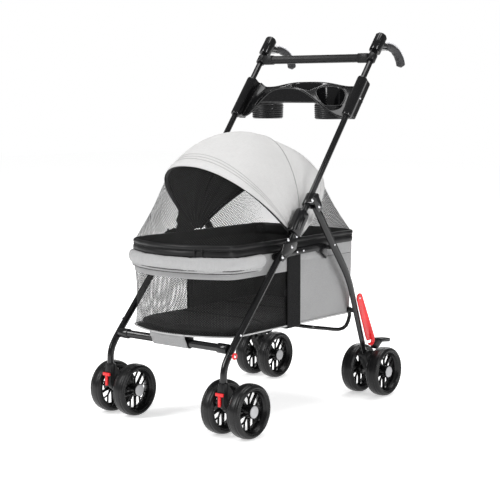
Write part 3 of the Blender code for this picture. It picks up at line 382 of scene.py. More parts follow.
def total(tree, first, second):
    return maths(tree, "ADD", first, second)


def remap(tree, value, from_low, from_high, low, high):
    node = tree.nodes.new("ShaderNodeMapRange")
    for i, number in enumerate((from_low, from_high, low, high)):
        node.inputs[i + 1].default_value = number
    tree.links.new(value, node.inputs[0])
    return node.outputs["Result"]


def tint(material, value, dark, light, low=0.3, high=0.7):
    """Base colour that runs from dark to light with a value."""
    tree = material.node_tree
    ramp = tree.nodes.new("ShaderNodeValToRGB")
    first, last = ramp.color_ramp.elements
    first.position, first.color = low, (*dark, 1.0)
    last.position, last.color = high, (*light, 1.0)
    tree.links.new(value, ramp.inputs["Fac"])
    tree.links.new(ramp.outputs["Color"], shader_of(material).inputs["Base Color"])


def vary_roughness(material, value, low, high):
    tree = material.node_tree
    tree.links.new(remap(tree, value, 0.3, 0.7, low, high), shader_of(material).inputs["Roughness"])


def add_bump(material, height, distance, strength=1.0):
    """Adds a bump in front of any bump the material already has."""
    tree = material.node_tree
    bump = tree.nodes.new("ShaderNodeBump")
    bump.inputs["Strength"].default_value = strength
    bump.inputs["Distance"].default_value = distance
    socket = shader_of(material).inputs["Normal"]
    if socket.is_linked:
        tree.links.new(socket.links[0].from_socket, bump.inputs["Normal"])
    tree.links.new(height, bump.inputs["Height"])
    tree.links.new(bump.outputs["Normal"], socket)


def shade(colour, factor):
    return tuple(min(1.0, channel * factor) for channel in colour)


def hard_material(name, colour, roughness, grain, grain_height, **sockets):
    """Moulded or coated surface: fine grain, faint tone variation and a roughness that wanders."""
    material = new_material(name, colour, roughness, **sockets)
    tree = material.node_tree
    place = coords(tree)
    tint(material, noise_value(tree, place, 24.0, 4.0), shade(colour, 0.88), shade(colour, 1.14))
    smudge = noise_value(tree, place, 60.0, 3.0)
    vary_roughness(material, smudge, roughness * 0.92, roughness * 1.12)
    add_bump(material, noise_value(tree, place, grain, 2.0), grain_height)
    return material


def thread_wave(tree, coordinate, pitch):
    return maths(tree, "SINE", product(tree, coordinate, 2 * math.pi / pitch))


def cloth_axes(tree, kind, axes):
    """The two cloth directions, in metres, from the piece's own coordinates."""
    split = tree.nodes.new("ShaderNodeSeparateXYZ")
    tree.links.new(coords(tree, kind), split.inputs["Vector"])
    return [split.outputs[axis] for axis in axes]


def cloth_material(name, colour, roughness, pitch, kind="UV", axes="XY", sheen=0.25, depth=0.0003):
    """Plain weave: threads over and under each other, slubs along them and a slow tone drift."""
    material = new_material(
        name, colour, roughness, Sheen_Weight=sheen, Sheen_Roughness=0.5, Specular_IOR_Level=0.3
    )
    tree = material.node_tree
    warp, weft = cloth_axes(tree, kind, axes)
    weave = product(tree, thread_wave(tree, warp, pitch), thread_wave(tree, weft, pitch))
    along_warp = noise_value(tree, coords(tree, kind, (60.0, 900.0, 60.0)), 1.0, 2.0)
    along_weft = noise_value(tree, coords(tree, kind, (900.0, 60.0, 900.0)), 1.0, 2.0)
    slub = product(tree, total(tree, along_warp, along_weft), 0.5)
    drift = noise_value(tree, coords(tree, kind), 9.0, 3.0)
    tone = total(tree, product(tree, slub, 0.7), product(tree, drift, 0.3))
    tint(material, tone, shade(colour, 0.86), shade(colour, 1.1))
    vary_roughness(material, slub, roughness * 0.92, min(1.0, roughness * 1.08))
    add_bump(material, slub, depth)
    add_bump(material, weave, depth * 0.6)
    return material


def webbing_material(name, colour):
    """Ribbed webbing: ribs across the strap and a fine twill along it, with painted shade and painted
    highlight that follow the ribs.
    """
    material = new_material(name, colour, 0.8, Sheen_Weight=0.03, Specular_IOR_Level=0.12)
    tree = material.node_tree
    across, along = cloth_axes(tree, "UV", "XY")
    rib = thread_wave(tree, along, 0.0022)
    cord = thread_wave(tree, across, 0.0016)
    # Painted shade and painted highlight: the colour runs dark to light with the ribs' wave.
    tint(material, remap(tree, rib, -1.0, 1.0, 0.0, 1.0), shade(colour, 0.6), shade(colour, 1.7))
    add_bump(material, product(tree, rib, cord), 0.0004)
    return material


def net_material(name, colour, pitch, levels, span):
    """Knitted net: round holes on a triangular lattice, open where the three waves peak together.
    levels are the wave heights above which it is open, at the two ends of span: an axis and two places."""
    material = new_material(name, colour, 0.7, Specular_IOR_Level=0.2)
    tree = material.node_tree
    across, along = cloth_axes(tree, "UV", "XY")
    height = None
    for turn in (0.0, math.pi / 3, 2 * math.pi / 3):
        step = total(tree, product(tree, across, math.cos(turn)), product(tree, along, math.sin(turn)))
        wave = maths(tree, "COSINE", product(tree, step, 2 * math.pi / (pitch * 0.866)))
        height = wave if height is None else total(tree, height, wave)
    axis, first, last = span
    level = remap(tree, cloth_axes(tree, "Object", axis)[0], first, last, *levels)
    above = maths(tree, "SUBTRACT", height, level)
    cover = remap(tree, above, -0.12, 0.12, 1.0, 0.0)
    tree.links.new(cover, shader_of(material).inputs["Alpha"])
    tint(material, noise_value(tree, coords(tree, "UV"), 40.0), shade(colour, 0.8), shade(colour, 1.3))
    return material


def make_materials():
    """Every look's material, and the record's slot that it belongs to."""
    made = {}
    for look, (name, slot, *settings, sockets) in HARD_LOOKS.items():
        made[look] = (hard_material(name, *settings, **sockets), slot)
    for look, (name, slot, *settings, options) in CLOTH_LOOKS.items():
        made[look] = (cloth_material(name, *settings, **options), slot)
    made["webbing"] = (webbing_material("webbing_black", WEBBING), "black_fabric")
    for look, (levels, span) in NET_LOOKS.items():
        made[look] = (net_material(f"{look}_black", NET, NET_PITCH, levels, span), "black_mesh")
    return {look: pair[0] for look, pair in made.items()}, {look: pair[1] for look, pair in made.items()}


MATERIALS, SLOTS = make_materials()


# ---------------------------------------------------------------- mesh helpers


def link(thing):
    bpy.context.scene.collection.objects.link(thing)
    return thing


def dress_mesh(mesh, look, smooth=True):
    """One material and one kind of shading for a whole mesh."""
    mesh.polygons.foreach_set("use_smooth", [smooth] * len(mesh.polygons))
    mesh.materials.append(MATERIALS[look])
    mesh.update()


def new_piece(name, verts, faces, look, uvs=None, smooth=True):
    """A mesh piece with one material. uvs gives one (u, v) in metres for each vertex."""
    mesh = bpy.data.meshes.new(name)
    mesh.from_pydata([tuple(v) for v in verts], [], faces)
    if uvs:
        layer = mesh.uv_layers.new(name="cloth")
        for loop in mesh.loops:
            layer.data[loop.index].uv = uvs[loop.vertex_index]
    dress_mesh(mesh, look, smooth)
    piece = link(bpy.data.objects.new(name, mesh))
    return piece


def even_steps(low, high, count):
    """count + 1 numbers from low to high."""
    return [low + (high - low) * i / count for i in range(count + 1)]


def turns(count):
    """Cosine and sine at even steps round a circle."""
    angles = [2 * math.pi * k / count for k in range(count)]
    return [(math.cos(angle), math.sin(angle)) for angle in angles]


def squared(value, power):
    """Squares off a sine or cosine, for outlines between a circle and a rectangle."""
    return math.copysign(abs(value) ** power, value)


def running_lengths(points):
    """Distance along a path at each of its points."""
    lengths = [0.0]
    for a, b in zip(points, points[1:]):
        lengths.append(lengths[-1] + (b - a).length)
    return lengths


def evenly_spaced(path, count, ends=True):
    """The path read at count even steps along its length, with its last point or without it."""
    lengths = running_lengths(path)
    points = []
    j = 0
    for i in range(count + 1 if ends else count):
        target = lengths[-1] * i / count
        while j < len(path) - 2 and lengths[j + 1] < target:
            j += 1
        part = (target - lengths[j]) / (lengths[j + 1] - lengths[j])
        points.append(path[j].lerp(path[j + 1], part))
    return points


def grid_faces(rows, columns, first=0, flip=False):
    faces = []
    for r in range(rows - 1):
        for c in range(columns - 1):
            a = first + r * columns + c
            quad = (a, a + 1, a + columns + 1, a + columns)
            faces.append(quad[::-1] if flip else quad)
    return faces


def closed_grid_faces(rows, columns):
    """Faces of a front grid, a back grid whose points come after it, and the border between them."""
    count = rows * columns
    last = count - columns
    faces = grid_faces(rows, columns) + grid_faces(rows, columns, count, flip=True)
    border = list(range(columns))
    border += [r * columns + columns - 1 for r in range(1, rows)]
    border += [last + c for c in range(columns - 2, -1, -1)]
    border += [r * columns for r in range(rows - 2, 0, -1)]
    for a, b in zip(border, border[1:] + border[:1]):
        faces.append((b, a, a + count, b + count))
    return faces


def grid_uvs(rows):
    """UVs in metres: along each row from its middle, and across the rows by their mean gap."""
    uvs = []
    v = 0.0
    for r, row in enumerate(rows):
        if r:
            gaps = [(a - b).length for a, b in zip(row, rows[r - 1])]
            v += sum(gaps) / len(gaps)
        lengths = running_lengths(row)
        uvs += [(length - lengths[-1] / 2, v) for length in lengths]
    return uvs


def either_side(items, i):
    """The items before and after place i, or item i itself at an end."""
    return items[max(i - 1, 0)], items[min(i + 1, len(items) - 1)]


def grid_normals(rows):
    normals = []
    for r, row in enumerate(rows):
        below, above = either_side(rows, r)
        for c in range(len(row)):
            behind, ahead = either_side(row, c)
            normals.append((ahead - behind).cross(above[c] - below[c]).normalized())
    return normals


def sheet_piece(name, rows, look, thickness=0.0, back_look=None):
    """A cloth sheet through rows of points. With a thickness it is closed, and its back, on the side
    away from the normals, can have its own look."""
    columns = len(rows[0])
    front = [point for row in rows for point in row]
    uvs = grid_uvs(rows)
    if not thickness:
        return new_piece(name, front, grid_faces(len(rows), columns), look, uvs)
    back = [point - normal * thickness for point, normal in zip(front, grid_normals(rows))]
    faces = closed_grid_faces(len(rows), columns)
    piece = new_piece(name, front + back, faces, look, uvs + uvs)
    if back_look:
        piece.data.materials.append(MATERIALS[back_look])
        back_from = (len(rows) - 1) * (columns - 1)
        for i in range(back_from, 2 * back_from):
            piece.data.polygons[i].material_index = 1
    return piece


def tube_rings(points, radii, sides):
    """Rings of points round a path, without twist."""
    rings = []
    side = None
    for i, point in enumerate(points):
        behind, ahead = either_side(points, i)
        along = (ahead - behind).normalized()
        if side is None:
            helper = Vector((1, 0, 0)) if abs(along.x) < 0.9 else Vector((0, 0, 1))
            side = along.cross(helper).normalized()
        side = (side - along * side.dot(along)).normalized()
        other = along.cross(side)
        rings.append([point + (side * cos + other * sin) * radii[i] for cos, sin in turns(sides)])
    return rings


def ring_solid(name, rings, look, closed_path=False):
    """A solid through rings of points, capped at both ends unless its path is closed."""
    sides = len(rings[0])
    verts = [point for ring in rings for point in ring]
    faces = []
    count = len(rings)
    for r in range(count if closed_path else count - 1):
        here = r * sides
        there = (r + 1) % count * sides
        for k in range(sides):
            n = (k + 1) % sides
            faces.append((here + k, here + n, there + n, there + k))
    if not closed_path:
        faces.append(tuple(range(sides))[::-1])
        faces.append(tuple(range(len(verts) - sides, len(verts))))
    return new_piece(name, verts, faces, look)


def tube_piece(name, points, radii, look, sides=16, closed=False):
    """A tube along the points. radii is one radius, or one for each point."""
    if isinstance(radii, float):
        radii = [radii] * len(points)
    return ring_solid(name, tube_rings(points, radii, sides), look, closed)


def smooth_path(points, steps=6):
    """Points read from a smooth curve (Catmull-Rom) through the given ones."""
    ends = [points[0] * 2 - points[1], *points, points[-1] * 2 - points[-2]]
    path = []
    for a, b, c, d in zip(ends, ends[1:], ends[2:], ends[3:]):
        for t in (step / steps for step in range(steps)):
            square = (2 * a - 5 * b + 4 * c - d) * t**2
            cube = (3 * b - a - 3 * c + d) * t**3
            path.append(0.5 * (2 * b + (c - a) * t + square + cube))
    path.append(points[-1])
    return path


def lathe_mesh(name, profile, look, steps=72):
    """Mesh turned about +X through (radius, x) points. Radius 0 points become one vertex."""
    verts = []
    rows = []
    for radius, x in profile:
        if radius == 0:
            rows.append([len(verts)] * steps)
            verts.append((x, 0.0, 0.0))
            continue
        rows.append(list(range(len(verts), len(verts) + steps)))
        verts += [(x, radius * cos, radius * sin) for cos, sin in turns(steps)]
    faces = []
    for row, following in zip(rows, rows[1:]):
        for k in range(steps):
            n = (k + 1) % steps
            corners = tuple(dict.fromkeys((row[k], row[n], following[n], following[k])))
            if len(corners) > 2:
                faces.append(corners)
    mesh = bpy.data.meshes.new(name)
    mesh.from_pydata(verts, [], faces)
    dress_mesh(mesh, look)
    return mesh


def place_mesh(name, mesh, centre, outward, body, replaced=()):
    """An object of a shared mesh that rides on a body. outward -1 turns it to face -X."""
    piece = link(bpy.data.objects.new(name, mesh))
    turn = Matrix.Rotation(0.0 if outward > 0 else math.pi, 4, "Z")
    piece.matrix_world = Matrix.Translation(centre) @ turn
    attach(piece, body)
    if replaced:
        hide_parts(*replaced)


def soften(piece, width, angle):
    """Rounds a piece's edges that are sharper than the angle, in degrees."""
    bevel = piece.modifiers.new("edges", "BEVEL")
    bevel.width = width
    bevel.segments = 2
    bevel.limit_method = "ANGLE"
    bevel.angle_limit = math.radians(angle)
    bevel.harden_normals = True


# ---------------------------------------------------------------- camera, light and floor


def build_stage():
    mesh = bpy.data.meshes.new("floor")
    corners = [(-1, -1, 0), (1, -1, 0), (1, 1, 0), (-1, 1, 0)]
    mesh.from_pydata([Vector(corner) * FLOOR_HALF for corner in corners], [], [(0, 1, 2, 3)])
    floor = link(bpy.data.objects.new("floor", mesh))
    paper = new_material(
        "floor_paper", (0.95, 0.95, 0.95), 0.9, Specular_IOR_Level=0.1, Emission_Color=WHITE
    )
    tree = paper.node_tree
    away = tree.nodes.new("ShaderNodeVectorMath")
    away.operation = "LENGTH"
    tree.links.new(coords(tree), away.inputs[0])
    glow = remap(tree, away.outputs["Value"], *GLOW_FROM_TO, *FLOOR_GLOW)
    tree.links.new(glow, shader_of(paper).inputs["Emission Strength"])
    mesh.materials.append(paper)
    floor.location.z = -0.0005


def aim(thing, place, target):
    """Links a light or camera, at a place and looking at a target."""
    link(thing)
    thing.location = place
    thing.rotation_mode = "QUATERNION"
    thing.rotation_quaternion = (Vector(target) - Vector(place)).to_track_quat("-Z", "Y")


def build_lights():
    for name, place, size, power in LIGHTS:
        data = bpy.data.lights.new(name, "AREA")
        data.shape = "RECTANGLE"
        data.size, data.size_y = size
        data.energy = power
        aim(bpy.data.objects.new(name, data), place, LIGHTS_LOOK_AT)
    scene = bpy.context.scene
    scene.view_settings.view_transform = "Standard"
    world = bpy.data.worlds.new("studio")
    scene.world = world
    world.use_nodes = True
    tree = world.node_tree
    sky = tree.nodes["Background"]
    path = tree.nodes.new("ShaderNodeLightPath")
    strength = remap(tree, path.outputs["Is Camera Ray"], 0.0, 1.0, ROOM_LIGHT, 1.0)
    tree.links.new(strength, sky.inputs["Strength"])
    sky.inputs["Color"].default_value = WHITE


def build_camera():
    data = bpy.data.cameras.new("camera")
    data.lens = CAMERA_LENS_MM
    data.sensor_width = 36.0
    camera = bpy.data.objects.new("camera", data)
    aim(camera, CAMERA_AT, CAMERA_LOOKS_AT)
    bpy.context.scene.camera = camera


# ---------------------------------------------------------------- basket shape


def tub_path(spacing=0.004):
    """Half of the basket's plan outline, front centre to rear centre, at an even spacing, and its length."""
    half = TUB_HALF_WIDTH
    depth = TUB_FRONT_CORNER_Y - TUB_FRONT_Y
    shares = (0, 0.2, 0.4, 0.6, 0.8, 1)
    sketch = [(share * (half - 0.012), TUB_FRONT_Y + depth * share**2) for share in shares]
    sketch += [(half - 0.003, TUB_FRONT_CORNER_Y + 0.016), (half, TUB_FRONT_CORNER_Y + 0.045)]
    sketch += [(half, y) for y in (0.12, 0.22, 0.32, 0.42)]
    for angle in even_steps(0.0, math.pi / 2, 4):
        x = half - TUB_CORNER_R + TUB_CORNER_R * math.cos(angle)
        y = TUB_REAR_Y - TUB_CORNER_R + TUB_CORNER_R * math.sin(angle)
        sketch.append((x, y))
    sketch += [(0.09, TUB_REAR_Y), (0.045, TUB_REAR_Y), (0.0, TUB_REAR_Y)]
    fine = smooth_path([Vector((x, y, 0.0)) for x, y in sketch], 16)
    length = running_lengths(fine)[-1]
    return evenly_spaced(fine, round(length / spacing)), length


TUB_PATH, TUB_HALF_LENGTH = tub_path()


def tub_point(run, z, out=0.0):
    """Point on the basket's wall. run is the length along the rim from the front centre, positive to
    the left side, and past the rear centre it comes back up the right side."""
    sign = 1.0
    if run < 0:
        run, sign = -run, -1.0
    if run > TUB_HALF_LENGTH:
        run, sign = 2 * TUB_HALF_LENGTH - run, -sign
    place = run / TUB_HALF_LENGTH * (len(TUB_PATH) - 1)
    i = min(int(place), len(TUB_PATH) - 2)
    here = TUB_PATH[i].lerp(TUB_PATH[i + 1], place - i)
    along = (TUB_PATH[min(i + 2, len(TUB_PATH) - 1)] - TUB_PATH[max(i - 1, 0)]).normalized()
    outward = Vector((along.y, -along.x, 0.0))
    if i < 2:
        outward = Vector((0.0, -1.0, 0.0))
    here = here + outward * out
    share = (z - TUB_BOTTOM_Z) / (RIM_TOP_Z - TUB_BOTTOM_Z)
    y = here.y + TUB_REAR_LEAN * share * ease((here.y - 0.30) / 0.2)
    return at(sign * here.x, (y, z))


def run_at_side(y):
    """Length along the rim where the left side passes y."""
    for i, point in enumerate(TUB_PATH):
        if point.y >= y and point.x > 0.9 * TUB_HALF_WIDTH:
            return TUB_HALF_LENGTH * i / (len(TUB_PATH) - 1)
    return TUB_HALF_LENGTH


STRAP_FRONT_RUN = run_at_side(STRAP_FRONT_Y)
STRAP_REAR_RUN = run_at_side(STRAP_REAR_Y)


def wrinkle(place, size, height, seed=0.0):
    """Soft unevenness of cloth, in metres."""
    return height * noise.noise(Vector(place) / size + Vector((seed, seed * 0.37, -seed)))


def wall_rows(start, end, low, high, out, shape, spacing):
    """Rows of points up the basket's wall between two runs. shape adds to how far out each one is."""
    columns = max(2, round((end - start) / spacing))
    lines = max(2, round((high - low) / spacing))
    runs = even_steps(start, end, columns)
    return [[tub_point(run, z, out + shape(run, z)) for run in runs] for z in even_steps(low, high, lines)]


def round_the_rim(z, out, count):
    """Points all round the basket's wall."""
    return [tub_point(2 * TUB_HALF_LENGTH * i / count, z, out) for i in range(count)]


def sewn_line(name, start, end, steps, z, out, radius):
    """A line of dark thread along the basket's wall."""
    runs = even_steps(start, end, steps)
    hold_on_frame(tube_piece(name, [tub_point(run, z, out) for run in runs], radius, "seam", 6))


def hold_on_frame(*pieces):
    """The basket, the canopy's rear and what is sewn to them ride on the front frame."""
    for piece in pieces:
        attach(piece, "front_frame")


def rear_shape(run, z):
    """The rear panel's bulge, hem and wrinkles."""
    bulge = 0.0022 * math.sin(math.pi * clamp01((z - TUB_BOTTOM_Z) / (PANEL_TOP_Z - TUB_BOTTOM_Z)))
    seam = -0.0012 * bump_at(z, HEM_Z, 0.004) + 0.0008 * ease((z - HEM_Z) / 0.006)
    return bulge + seam + wrinkle((run, z * 0.6, 0), 0.07, 0.0016, 3.0)


def band_shape(run, z):
    return wrinkle((run, z, 0), 0.05, 0.0010, 5.0) + 0.0006 * bump_at(z, BAND_LOW_Z + 0.002, 0.004)


def net_shape(run, z):
    """The lower net's wrinkles, and how it draws in halfway up."""
    share = clamp01((z - PIPING_Z) / (BAND_LOW_Z - PIPING_Z))
    return wrinkle((run, z, 0), 0.06, 0.0022, 7.0) - 0.003 * math.sin(math.pi * share)


def lining_shape(run, z):
    return wrinkle((run, z, 0), 0.08, 0.0020, 11.0)


def build_tub_walls():
    """Rear panel, front band, front net and dark lining, and the rear panel's hem line."""
    once_round = 2 * TUB_HALF_LENGTH
    rear = (STRAP_REAR_RUN - 0.02, once_round - STRAP_REAR_RUN + 0.02)
    front = (-STRAP_FRONT_RUN - 0.01, STRAP_FRONT_RUN + 0.01)
    lining = (STRAP_FRONT_RUN - 0.004, once_round - STRAP_FRONT_RUN + 0.004)
    # Name, ends, low and high edges, how far out, shape, spacing, look, thickness, back's look, flat size
    walls = (
        ("basket_rear_panel", rear, TUB_BOTTOM_Z, PANEL_TOP_Z, 0.0008, rear_shape, 0.004,
         "grey", 0.0012, None, (1.02, 0.203)),
        ("basket_front_band", front, BAND_LOW_Z, PANEL_TOP_Z, 0.0010, band_shape, 0.004,
         "grey", 0.0012, "lining", (0.83, 0.058)),
        ("basket_front_net", front, PIPING_Z, BAND_LOW_Z + 0.003, -0.0006, net_shape, 0.006,
         "net_low", 0.0, None, (0.83, 0.145)),
        ("basket_lining", lining, TUB_BOTTOM_Z + 0.004, RIM_TOP_Z - 0.003, -0.0040, lining_shape, 0.006,
         "lining", 0.0, None, (1.13, 0.22)),
    )
    for name, ends, low, high, out, shape, spacing, look, thickness, back_look, flat in walls:
        rows = wall_rows(*ends, low, high, out, shape, spacing)
        piece = sheet_piece(name, rows, look, thickness, back_look)
        hold_on_frame(piece)
        if name == "basket_rear_panel":
            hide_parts("basket_fabric")
    hem_start = run_at_side(HEM_START_Y)
    sewn_line("basket_rear_seam", hem_start, once_round - hem_start, 160, HEM_Z, 0.0016, 0.0008)


def swept_band(name, profile, look, start, end, spacing=0.005, unevenness=0.0008, closed=False):
    """A closed (out, z) profile swept along the basket's wall."""
    runs = even_steps(start, end, round((end - start) / spacing))
    rings = []
    for run in runs[:-1] if closed else runs:
        ring = []
        for out, z in profile:
            extra = wrinkle((run, z, out), 0.03, unevenness, 2.0)
            ring.append(tub_point(run, z + extra * 0.5, out + extra))
        rings.append(ring)
    return ring_solid(name, rings, look, closed)


def zip_teeth():
    """Small blocks of the zip's chain, all in one piece."""
    count = round(2 * TUB_HALF_LENGTH / ZIP_PITCH)
    verts, faces = [], []
    up = Vector((0, 0, 0.0013))
    for i in range(count):
        run = i * ZIP_PITCH
        inner = tub_point(run, ZIP_TEETH_Z, 0.0020)
        outer = tub_point(run, ZIP_TEETH_Z, 0.0034)
        along = (tub_point(run + 0.001, ZIP_TEETH_Z, 0.0020) - inner).normalized() * 0.0006
        first = len(verts)
        for base in (inner, outer):
            verts += [base + along * a + up * u for a, u in ((-1, -1), (1, -1), (1, 1), (-1, 1))]
        for quad in ((0, 1, 2, 3), (7, 6, 5, 4), (0, 4, 5, 1), (1, 5, 6, 2), (2, 6, 7, 3), (3, 7, 4, 0)):
            faces.append(tuple(first + k for k in quad))
    return new_piece("rim_zip_teeth", verts, faces, "moulded", smooth=False)


def build_rim():
    """Black zipped edge that joins the canopy's nets to the basket."""
    roll = [(-0.0042, ZIP_LOW_Z), (0.0012, ZIP_LOW_Z), (0.0036, 0.4335), (0.0046, 0.4385)]
    roll += [(0.0042, 0.4440), (0.0020, 0.4480), (0.0012, 0.4495), (0.0024, 0.4512)]
    roll += [(0.0040, 0.4540), (0.0040, 0.4585), (0.0020, 0.4620), (-0.0010, 0.4632)]
    roll += [(-0.0035, 0.4615), (-0.0046, 0.4550), (-0.0046, 0.4420)]
    band = swept_band("rim_zip_band", roll, "zip_tape", 0.0, 2 * TUB_HALF_LENGTH, 0.005, 0.0012, closed=True)
    hold_on_frame(band, zip_teeth())


def build_zip_sliders():
    """Two sliders on the zip's chain, each with its pull tab."""
    # Part, heights, how far out, radii and sides
    parts = (
        ("slider", (0.4545, 0.4525, 0.4475, 0.4445), 0.0052, [0.0010, 0.0019, 0.0019, 0.0010], 12),
        ("tab", (0.4500, 0.4480, 0.4370, 0.4355), 0.0074, [0.0006, 0.0012, 0.0016, 0.0008], 10),
    )
    for letter, run in ZIP_SLIDERS:
        for part, heights, out, radii, sides in parts:
            path = [tub_point(run, z, out) for z in heights]
            hold_on_frame(tube_piece(f"zip_{part}_{letter}", path, radii, "moulded", sides))


def build_piping():
    path = round_the_rim(PIPING_Z, 0.0022, 320)
    hold_on_frame(tube_piece("basket_piping", path, 0.0020, "piping", 8, closed=True))


def build_base():
    """Stiff black base under the pad, inside the bottom seam."""
    levels = ((0.2375, 0.0035), (0.2362, 0.0015), (0.2350, 0.0030), (0.2345, 0.0200))
    rings = [round_the_rim(z, -inset, 120) for z, inset in levels]
    centre = at(0.0, (0.25, 0.2342))
    rings += [[centre.lerp(point, shrink) for point in rings[3]] for shrink in (0.7, 0.4)]
    base = ring_solid("basket_base", rings[::-1], "lining")
    hold_on_frame(base)


def build_sling():
    """One webbing sling, down one side, under the base and up the other."""
    half = TUB_HALF_WIDTH + 0.0032
    low = TUB_BOTTOM_Z - 0.0032
    corner = 0.004
    profile = [(half, z) for z in (0.4205, 0.40, 0.37, 0.34, 0.31, 0.28, 0.25, low + corner)]
    profile += [(half - 0.0012, low + 0.0012), (half - corner, low), (0.13, low), (0.07, low), (0.0, low)]
    profile += [(-x, z) for x, z in profile[-2::-1]]
    middle_y = (STRAP_FRONT_Y + STRAP_REAR_Y) / 2
    half_width = (STRAP_REAR_Y - STRAP_FRONT_Y) / 2
    rows = []
    for point in smooth_path([Vector((x, 0.0, z)) for x, z in profile], 4):
        row = []
        for share in even_steps(-1, 1, 12):
            y = middle_y + half_width * share + wrinkle((share, point.z, point.x), 0.2, 0.001, 4.0)
            row.append(at(point.x, (y, point.z)))
        rows.append(row)
    strap = sheet_piece("basket_sling", rows, "webbing", 0.0014)
    hold_on_frame(strap)


def build_front_tab():
    """Grey cloth tab that ties the basket's front edge round the crossbar."""
    fine = smooth_path([at(0.0, point) for point in TAB_PROFILE], 4)
    places = even_steps(-TAB_HALF_WIDTH, TAB_HALF_WIDTH, 16)
    rows = [[point + Vector((x, 0, 0)) for point in fine] for x in places]
    tab = sheet_piece("basket_front_tab", rows, "grey", 0.0010)
    hold_on_frame(tab)


# ---------------------------------------------------------------- padded pieces


def voxel_remesh(piece, voxel):
    remesh = piece.modifiers.new("remesh", "REMESH")
    remesh.mode = "VOXEL"
    remesh.voxel_size = voxel


def inflate(piece, voxel, pressure, cap):
    """Voxel remesh, then a short cloth simulation under inner pressure, with each point's move capped,
    and one subdivision."""
    voxel_remesh(piece, voxel)
    bake_modifiers(piece)
    swell(piece, pressure, cap)
    smooth = piece.modifiers.new("smooth", "SUBSURF")
    smooth.levels = 1
    smooth.render_levels = 1
    bake_modifiers(piece)


def swell(piece, pressure, cap):
    start = [vertex.co.copy() for vertex in piece.data.vertices]
    cloth = piece.modifiers.new("cloth", "CLOTH")
    for setting, value in CLOTH_SETTINGS.items():
        setattr(cloth.settings, setting, value)
    cloth.settings.uniform_pressure_force = pressure
    cloth.settings.effector_weights.gravity = 0.0
    cloth.point_cache.frame_start = 1
    cloth.point_cache.frame_end = CLOTH_FRAMES
    for number in range(1, CLOTH_FRAMES + 1):
        bpy.context.scene.frame_set(number)
    bake_modifiers(piece)
    bpy.context.scene.frame_set(1)
    for vertex, before in zip(piece.data.vertices, start):
        move = vertex.co - before
        if move.length > cap:
            vertex.co = before + move.normalized() * cap


def bake_modifiers(piece):
    """Replaces the piece's mesh by what its modifiers make of it."""
    graph = bpy.context.evaluated_depsgraph_get()
    mesh = bpy.data.meshes.new_from_object(piece.evaluated_get(graph))
    piece.modifiers.clear()
    piece.data = mesh
    mesh.polygons.foreach_set("use_smooth", [True] * len(mesh.polygons))


def build_floor_pad():
    """Quilted floor cushion with a crowned top and two sewn channels across it."""
    low = TUB_BOTTOM_Z + 0.0065
    high = low + 0.0150
    levels = ((low, 0.0165), (low + 0.004, 0.0125), (high - 0.005, 0.0125), (high, 0.0175))
    pad = ring_solid("floor_cushion", [round_the_rim(z, -inset, 90) for z, inset in levels], "pad")
    inflate(pad, 0.006, 3.0, 0.0045)
    top = max(vertex.co.z for vertex in pad.data.vertices)
    for vertex in pad.data.vertices:
        y = vertex.co.y - FRONT_AXLE_Y
        share = clamp01((vertex.co.z - low) / (top - low))
        dip = sum(bump_at(y, channel_y, 0.009) for channel_y in PAD_CHANNELS_Y)
        rise = wrinkle((vertex.co.x, vertex.co.y, 0), 0.05, 0.0014, 8.0)
        vertex.co.z += share * (rise - 0.0045 * dip)
        vertex.co.z = max(vertex.co.z, TUB_BOTTOM_Z + 0.0042)
    pad.data.update()
    hold_on_frame(pad)
    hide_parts("floor_pad")


def build_apron():
    """Padded front apron: a thick top roll over a thin flap, with a rounded end on each side."""
    end = run_at_side(APRON_END_Y)
    apron = swept_band("front_apron", APRON_PROFILE, "apron", -end, end, 0.006, 0.0)
    inflate(apron, 0.0045, 4.0, 0.005)
    upper, lower = APRON_SEAMS
    for vertex in apron.data.vertices:
        z = vertex.co.z
        y = vertex.co.y - FRONT_AXLE_Y
        outward = Vector((vertex.co.x, (y - 0.25) * 0.62, 0.0)).normalized()
        run = math.atan2(vertex.co.x, 0.25 - y)
        wave = noise.noise(Vector((run * 16, z * 40, 1.0)))
        groove = bump_at(z, upper[0], 0.0034) + 0.55 * bump_at(z, lower[0] + 0.0005, 0.0026)
        pucker = 0.0006 * math.sin(run * 190 + 2 * wave) * bump_at(z, upper[0], 0.014)
        vertex.co -= outward * (0.0034 * groove - pucker - 0.0010 * wave)
        short = 1 - clamp01((APRON_END_Y + 0.004 - y) / APRON_END_LENGTH)
        narrow = math.sqrt(max(0.02, 1 - short**2.4))
        vertex.co.z = APRON_MIDDLE_Z + (vertex.co.z - APRON_MIDDLE_Z) * narrow
    apron.data.update()
    hold_on_frame(apron)
    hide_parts("front_bumper")
    for number, (z, out) in enumerate(APRON_SEAMS):
        sewn_line(f"front_apron_seam_{number}", -0.93 * end, 0.93 * end, 140, z, out, 0.0010)


# ---------------------------------------------------------------- canopy

def bow_point(bow, share, grow=0.0):
    """Point on a canopy bow, as in the CAD source. share runs from the left foot to the right foot."""
    radius, lean, roundness = bow
    low = (RIM_TOP_Z + BOW_R + 0.001 - CANOPY_PIVOT[1]) / math.sin(lean)
    angle = math.pi * share
    across = math.copysign(abs(math.cos(angle)) ** (2 / roundness), math.cos(angle))
    reach = low + (radius + grow - low) * max(0.0, math.sin(angle)) ** (2 / roundness)
    x = (CANOPY_HALF_WIDTH + grow) * across
    return at(x, (CANOPY_PIVOT[0] + reach * math.cos(lean), CANOPY_PIVOT[1] + reach * math.sin(lean)))


def blend_bows(first, second, mix):
    return tuple(a + (b - a) * mix for a, b in zip(first, second))


def canopy_bow(mix):
    """Bow shape at a place along the canopy: 0 at the front bow, 1 at the middle, 2 at the rear."""
    if mix <= 1:
        return blend_bows(BOWS["front"], BOWS["middle"], mix)
    return blend_bows(BOWS["middle"], BOWS["rear"], mix - 1)


def bow_shares(count):
    return [0.5 - 0.5 * math.cos(math.pi * i / count) for i in range(count + 1)]


